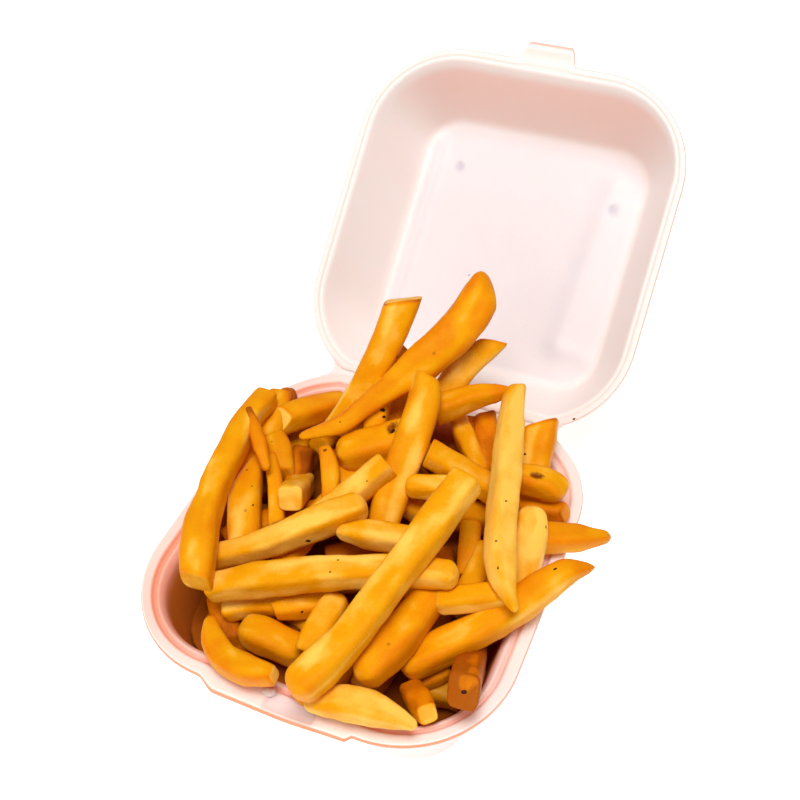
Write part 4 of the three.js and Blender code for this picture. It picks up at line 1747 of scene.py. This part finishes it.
def end_looks(one, from_ends, rim, across, towards):
    """How each ring leans near the two ends, and how much browner it is there."""
    slant, crisp = np.zeros_like(across), np.zeros(len(across))
    for k, from_end in enumerate(from_ends):
        is_cut = one.ends[k] == "cut"
        slope = one.slants[k]
        if slope is None:
            slope = rng.normal() * SLANT if is_cut else 0.0
        drawn = one.slants[k] is not None or not is_cut
        tilt = one.tilts[k] if drawn else rng.normal() * SLANT
        reach = one.half.mean() * (1.5 + 2.5 * abs(slope))
        near_end = np.clip(1 - from_end / reach, 0, 1)[:, None]
        slant += near_end * (slope * across + (tilt, -tilt)[k] * towards)
        crisp += one.crisp[k] * np.exp(-((from_end / CRISP_REACH) ** 2))
        crisp += one.rims[k] * np.exp(-(((from_end - 0.5) / 0.8) ** 2)) * rim
        if is_cut:
            crisp += one.faces[k] * (1 - rim) * (from_end < 3)
    return slant, crisp

# %% Lines for the sweep
# Under the mound the fries are darkened as painted shade.
DEEP_FROM = 8.0  # mm under the mound, where the fries begin to darken
DEEP_TO = 23.0
SEED_STEP = 7.3  # keeps two fries from having the same lumps


def ring_values(one, number):
    """Where a fry gets its rings, and the named values that they bring."""
    stations, shares = fry_stations(one).T
    far = lengths(one.spine)

    def at_rings(vectors):
        return columns_at(stations, far, vectors)

    spine = at_rings(one.spine)
    along = unit(at_rings(unit(np.gradient(one.spine, axis=0))))
    across, towards = unit(at_rings(one.across)), unit(at_rings(one.towards))
    rim = smooth_step(shares, 0.8, 0.96)
    from_ends = (stations, one.length - stations)
    slant, crisp = end_looks(one, from_ends, rim, across, towards)
    return spine, {
        "half": np.interp(stations, far, one.half) * shares * MM,
        "seed": np.full(len(spine), number * SEED_STEP),
        "body": smooth_step(shares, 0.3, 0.9),
        "rim": rim,
        "tone": np.full(len(spine), one.tone),
        "crisp": crisp,
        # painted shade, from how deep the ring lies under the mound
        "deep": smooth_step(mound(spine[:, 0], spine[:, 1]) - spine[:, 2], DEEP_FROM, DEEP_TO),
        "far": stations * MM,
        "spine": spine * MM,
        "facing": unit(at_rings(one.facing)),
        "along": along,
        "slant": slant,
    }


def fry_lines(fries):
    """Points, edges and named values for the sweep of all these fries."""
    points, edges, values = [], [], {}
    for number, one in enumerate(fries):
        spine, new = ring_values(one, number)
        first = len(points)
        edges += [(first + i, first + i + 1) for i in range(len(spine) - 1)]
        points.extend(spine)
        for key, value in new.items():
            values.setdefault(key, []).append(value)
    return np.array(points), edges, {key: np.concatenate(v) for key, v in values.items()}

# %% Sweeping
ONLY_FOR_THE_SWEEP = ("half", "seed", "body", "spine", "facing", "along", "slant", "far", "rim")


def sweep(name, fries, material, squareness, around):
    points, edges, values = fry_lines(fries)
    mesh = bpy.data.meshes.new(name + " lines")
    mesh.from_pydata((points * MM).tolist(), edges, [])
    for key, value in values.items():
        vector = value.ndim == 2
        attribute = mesh.attributes.new(key, "FLOAT_VECTOR" if vector else "FLOAT", "POINT")
        attribute.data.foreach_set("vector" if vector else "value", value.astype(np.float32).ravel())
    lines = bpy.data.objects.new(name + " lines", mesh)
    bpy.context.scene.collection.objects.link(lines)
    modifier = lines.modifiers.new("skin", "NODES")
    modifier.node_group = fries_tree
    identifiers = {item.name: item.identifier for item in fries_tree.interface.items_tree}
    modifier[identifiers["Squareness"]] = squareness
    modifier[identifiers["Faces Around"]] = around
    modifier[identifiers["Material"]] = material
    graph = bpy.context.evaluated_depsgraph_get()
    skin = bpy.data.meshes.new_from_object(lines.evaluated_get(graph))
    bpy.data.objects.remove(lines)
    skin.name = name
    for key in ONLY_FOR_THE_SWEEP:
        if key in skin.attributes:
            skin.attributes.remove(skin.attributes[key])
    piece = bpy.data.objects.new(name, skin)
    bpy.context.scene.collection.objects.link(piece)
    return piece

# %% Kinds of fries
# A dark tone is browned crust, or painted shade for a fry low in the heap.
DARK_TONE = 0.62  # a tone above this is a browned fry
LONG = 45  # mm


def kind_of(one):
    if one in fillers:
        return "fries_under"
    if "point" in one.ends:
        return "fries_tips"
    if one.tone > DARK_TONE:
        return "fries_browned"
    return "fries_long" if one.length > LONG else "fries_short"


KINDS = {
    "fries_long": (gold_crust, 4.9, AROUND),
    "fries_short": (gold_crust, 4.5, AROUND),
    "fries_browned": (dark_crust, 4.4, AROUND),
    "fries_tips": (gold_crust, 4.1, AROUND),
    "fries_under": (gold_crust, 4.5, 24),
}
fry_pieces = []
for name, (material, squareness, around) in KINDS.items():
    kind = [one for one in seen_fries + fillers if kind_of(one) == name]
    piece = sweep(name, kind, material, squareness, around)
    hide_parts("fries")
    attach(piece, "base")
    fry_pieces.append(piece)
    triangles = sum(len(p.vertices) - 2 for p in piece.data.polygons)
    print(name, len(kind), "fries,", triangles, "triangles")

# %% [markdown]
# ## Core
# Under the fries a lumpy core fills the box, so that no gap looks through to the foam's floor. Its
# dark brown is painted shade, for the shaded fries deep in the heap. It is closed and follows the
# walls with a small clearance.

# %% Core
CORE_GAP = 1.2
CORE_PLACE = (0.0, -1.0)  # its middle
CORE_TOP = 19  # mm, where its side ends
CORE_LUMPS = 0.09  # per mm
# dark browns of painted shade, for the shaded fries deep in the heap
CORE_SHADE = ((0.24, 0.045, 0.003, 1), (0.38, 0.10, 0.006, 1))

core_material, core_tree, core_shader = new_material(
    "heap's dark inside", Roughness=0.8, Specular_IOR_Level=0.05
)
core_cloud = soft_noise(core_tree, own_place(core_tree), 120.0, 3.0)
connect(core_tree, core_shader, "Base Color", blend_colours(core_tree, core_cloud, *CORE_SHADE))


def core_rings():
    """From the middle of its underside, up along the walls, to the middle of its lumpy top."""
    middle = np.array(CORE_PLACE)
    foot = base_outline(WALL_RUN + 2.5)
    rings = []

    def add_ring(flat, height):
        rings.append(np.column_stack((flat, np.broadcast_to(height, len(flat)))))

    for share in np.linspace(0.08, 1, 8):
        add_ring(middle + (foot - middle) * share, FOAM + 0.4)
    for height in np.linspace(3.5, CORE_TOP, 8):
        add_ring(base_outline(wall_inset(height) + CORE_GAP), height)
    rim = rings[-1][:, :2]
    for share in np.linspace(0.98, 0.03, 26):
        flat = middle + (rim - middle) * share
        lump = np.array([noise.noise(Vector((x * CORE_LUMPS, y * CORE_LUMPS, 3.0))) for x, y in flat])
        top = mound(flat[:, 0], flat[:, 1]) - CORE_DEEP + 4.0 * lump
        add_ring(flat, CORE_TOP + (top - CORE_TOP) * smooth_step(1 - share, 0.0, 0.25))
    return np.array(rings)


rings = core_rings()
core_faces = closed_faces(*rings.shape[:2], turned=False)
fry_core = mesh_object("fry_core", rings.reshape(-1, 3), core_faces, core_material)
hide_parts("fries")
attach(fry_core, "base")
print("fry_core", len(fry_core.data.vertices), "points")

# %% [markdown]
# ## Burnt hollows
# Three fries have a brown hollow where the crust has caught. A line of sight through its place in
# the view finds it on the fry. The points of the skin around it sink in, and their `burn` value
# turns the crust brown with a soft border.

# %% Burnt hollows
# place in the view in pixels, half length and half width in mm, its turn in degrees, how deep
HOLLOWS = [(537, 475, 3.6, 2.0, -8, 0.9), (430, 473, 3.4, 1.7, -20, 0.8), (392, 427, 4.2, 2.6, 65, 0.8)]


def tree_of(pieces):
    """One search tree for the faces of several pieces."""
    points, faces = [], []
    for piece in pieces:
        first = len(points)
        points += [v.co for v in piece.data.vertices]
        faces += [[first + i for i in p.vertices] for p in piece.data.polygons]
    return BVHTree.FromPolygons(points, faces)


def spot_on(surface, x, y, turn):
    """Where the sight line of a pixel meets the surface, and its three directions there, in mm."""
    hit, normal, _, _ = surface.ray_cast(Vector(EYE * MM), Vector(sight((x, y))).normalized())
    if hit is None:
        return None
    normal = np.array(normal)
    across = unit(VIEW[:, 0] - normal * (normal @ VIEW[:, 0]))
    other = np.cross(normal, across)
    angle = math.radians(turn)
    length_way = across * math.cos(angle) + other * math.sin(angle)
    width_way = other * math.cos(angle) - across * math.sin(angle)
    return np.array(hit) / MM, length_way, width_way, normal


def press_hollows(spots, pieces):
    surface = tree_of(pieces)
    placed = [(spot_on(surface, *spot[:2], spot[4]), spot[2], spot[3], spot[5]) for spot in spots]
    for piece in pieces:
        points = np.empty(3 * len(piece.data.vertices))
        piece.data.vertices.foreach_get("co", points)
        points = points.reshape(-1, 3) / MM
        burn = np.zeros(len(points))
        for (middle, length_way, width_way, normal), long, wide, deep in placed:
            away = points - middle
            flat = (away @ length_way / long) ** 2 + (away @ width_way / wide) ** 2
            fall = np.clip(1 - flat, 0, 1) * (np.abs(away @ normal) < 2.5)
            points -= normal * (deep * fall)[:, None]
            burn = np.maximum(burn, np.sqrt(fall))
        piece.data.vertices.foreach_set("co", (points * MM).ravel())
        set_values(piece, burn=burn)
        piece.data.update()
        print(piece.name, int((burn > 0).sum()), "burnt points")


press_hollows(HOLLOWS, fry_pieces)

# %% [markdown]
# ## Specks
# Frying leaves crumbs and burnt specks in a few places, and two lie on the lid. Each is a small
# flat blob sunk into the surface where the line of sight through its place in the view meets it.

# %% Specks
# place in the view in pixels, half length and half width in mm, its turn in degrees, how black
SPECKS = [
    (247, 470, 0.45, 0.35, 20, 1), (252, 486, 0.35, 0.25, 0, 1), (253, 505, 0.5, 0.35, 70, 1),
    (308, 541, 1.1, 0.6, -30, 0.9), (330, 572, 0.45, 0.3, 0, 1), (338, 560, 0.35, 0.25, 0, 1),
    (302, 612, 0.6, 0.4, 60, 1), (506, 501, 0.45, 0.35, 0, 1), (496, 541, 0.45, 0.35, 0, 1),
    (498, 568, 0.5, 0.3, 80, 0.8), (525, 454, 0.5, 0.4, 0, 1), (555, 569, 0.7, 0.4, 20, 1),
    (495, 384, 0.6, 0.35, 0, 1), (397, 357, 0.8, 0.5, 0, 1), (325, 450, 0.8, 0.5, 30, 0.3),
    (383, 410, 1.0, 0.7, 0, 1), (384, 417, 0.8, 0.6, 0, 1), (393, 431, 1.3, 0.9, 60, 1),
    (464, 692, 1.0, 0.7, 10, 1), (367, 481, 0.35, 0.25, 0, 1), (340, 422, 0.35, 0.25, 0, 1),
    (546, 527, 0.6, 0.3, 80, 0.9),
]
LID_SPECKS = [(469, 275, 0.35, 0.3, 0, 1), (574, 419, 0.6, 0.4, 30, 1)]
SPECK_AROUND = 14
SPECK_RINGS = 7
SPECK_THICK = 0.22  # as a share of its width
SPECK_BROWN = (0.30, 0.08, 0.006, 1)
SPECK_BLACK = (0.030, 0.010, 0.003, 1)


def speck_material():
    material, tree, shader = new_material("burnt speck", Roughness=0.7, Specular_IOR_Level=0.08)
    uneven = soft_noise(tree, own_place(tree), GRAIN)
    change = maths(tree, "MULTIPLY", centred(tree, uneven), 0.5)
    share = maths(tree, "ADD", brought(tree, "black"), change, clamp=True)
    connect(tree, shader, "Base Color", blend_colours(tree, share, SPECK_BROWN, SPECK_BLACK))
    return material


def speck_rings(key, long, wide):
    """A flat blob with an uneven outline: rings of length, width and height."""
    rings = []
    for ring in range(SPECK_RINGS):
        fall = math.pi * (ring + 0.5) / SPECK_RINGS
        for i in range(SPECK_AROUND):
            way = 2 * math.pi * i / SPECK_AROUND
            c, s = math.cos(way), math.sin(way)
            ragged = (1 + 0.5 * noise.noise(Vector((key + 1.7 * c, key + 1.7 * s, 0)))) * math.sin(fall)
            rings.append((long * c * ragged, wide * s * ragged, wide * SPECK_THICK * math.cos(fall)))
    return np.array(rings)


def specks(name, spots, pieces, body, node):
    """All the specks of these pieces as one."""
    surface = tree_of(pieces)
    points, faces, blackness = [], [], []
    count = SPECK_RINGS * SPECK_AROUND
    for x, y, long, wide, turn, black in spots:
        found = spot_on(surface, x, y, turn)
        if found is None:
            continue
        middle, length_way, width_way, normal = found
        first = len(points) * count
        points.append(middle + speck_rings(x, long, wide) @ np.array((length_way, width_way, normal)))
        blob = closed_faces(SPECK_RINGS, SPECK_AROUND, turned=True)
        faces += [[first + i for i in f] for f in blob]
        blackness += [black] * count
    piece = mesh_object(name, np.concatenate(points), faces, burnt)
    set_values(piece, black=blackness)
    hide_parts(node)
    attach(piece, body)
    print(name, len(points), "of", len(spots), "specks")


burnt = speck_material()
specks("fry_specks", SPECKS, fry_pieces, "base", "fries")
specks("lid_specks", LID_SPECKS, [foam_lid], "lid", "lid")
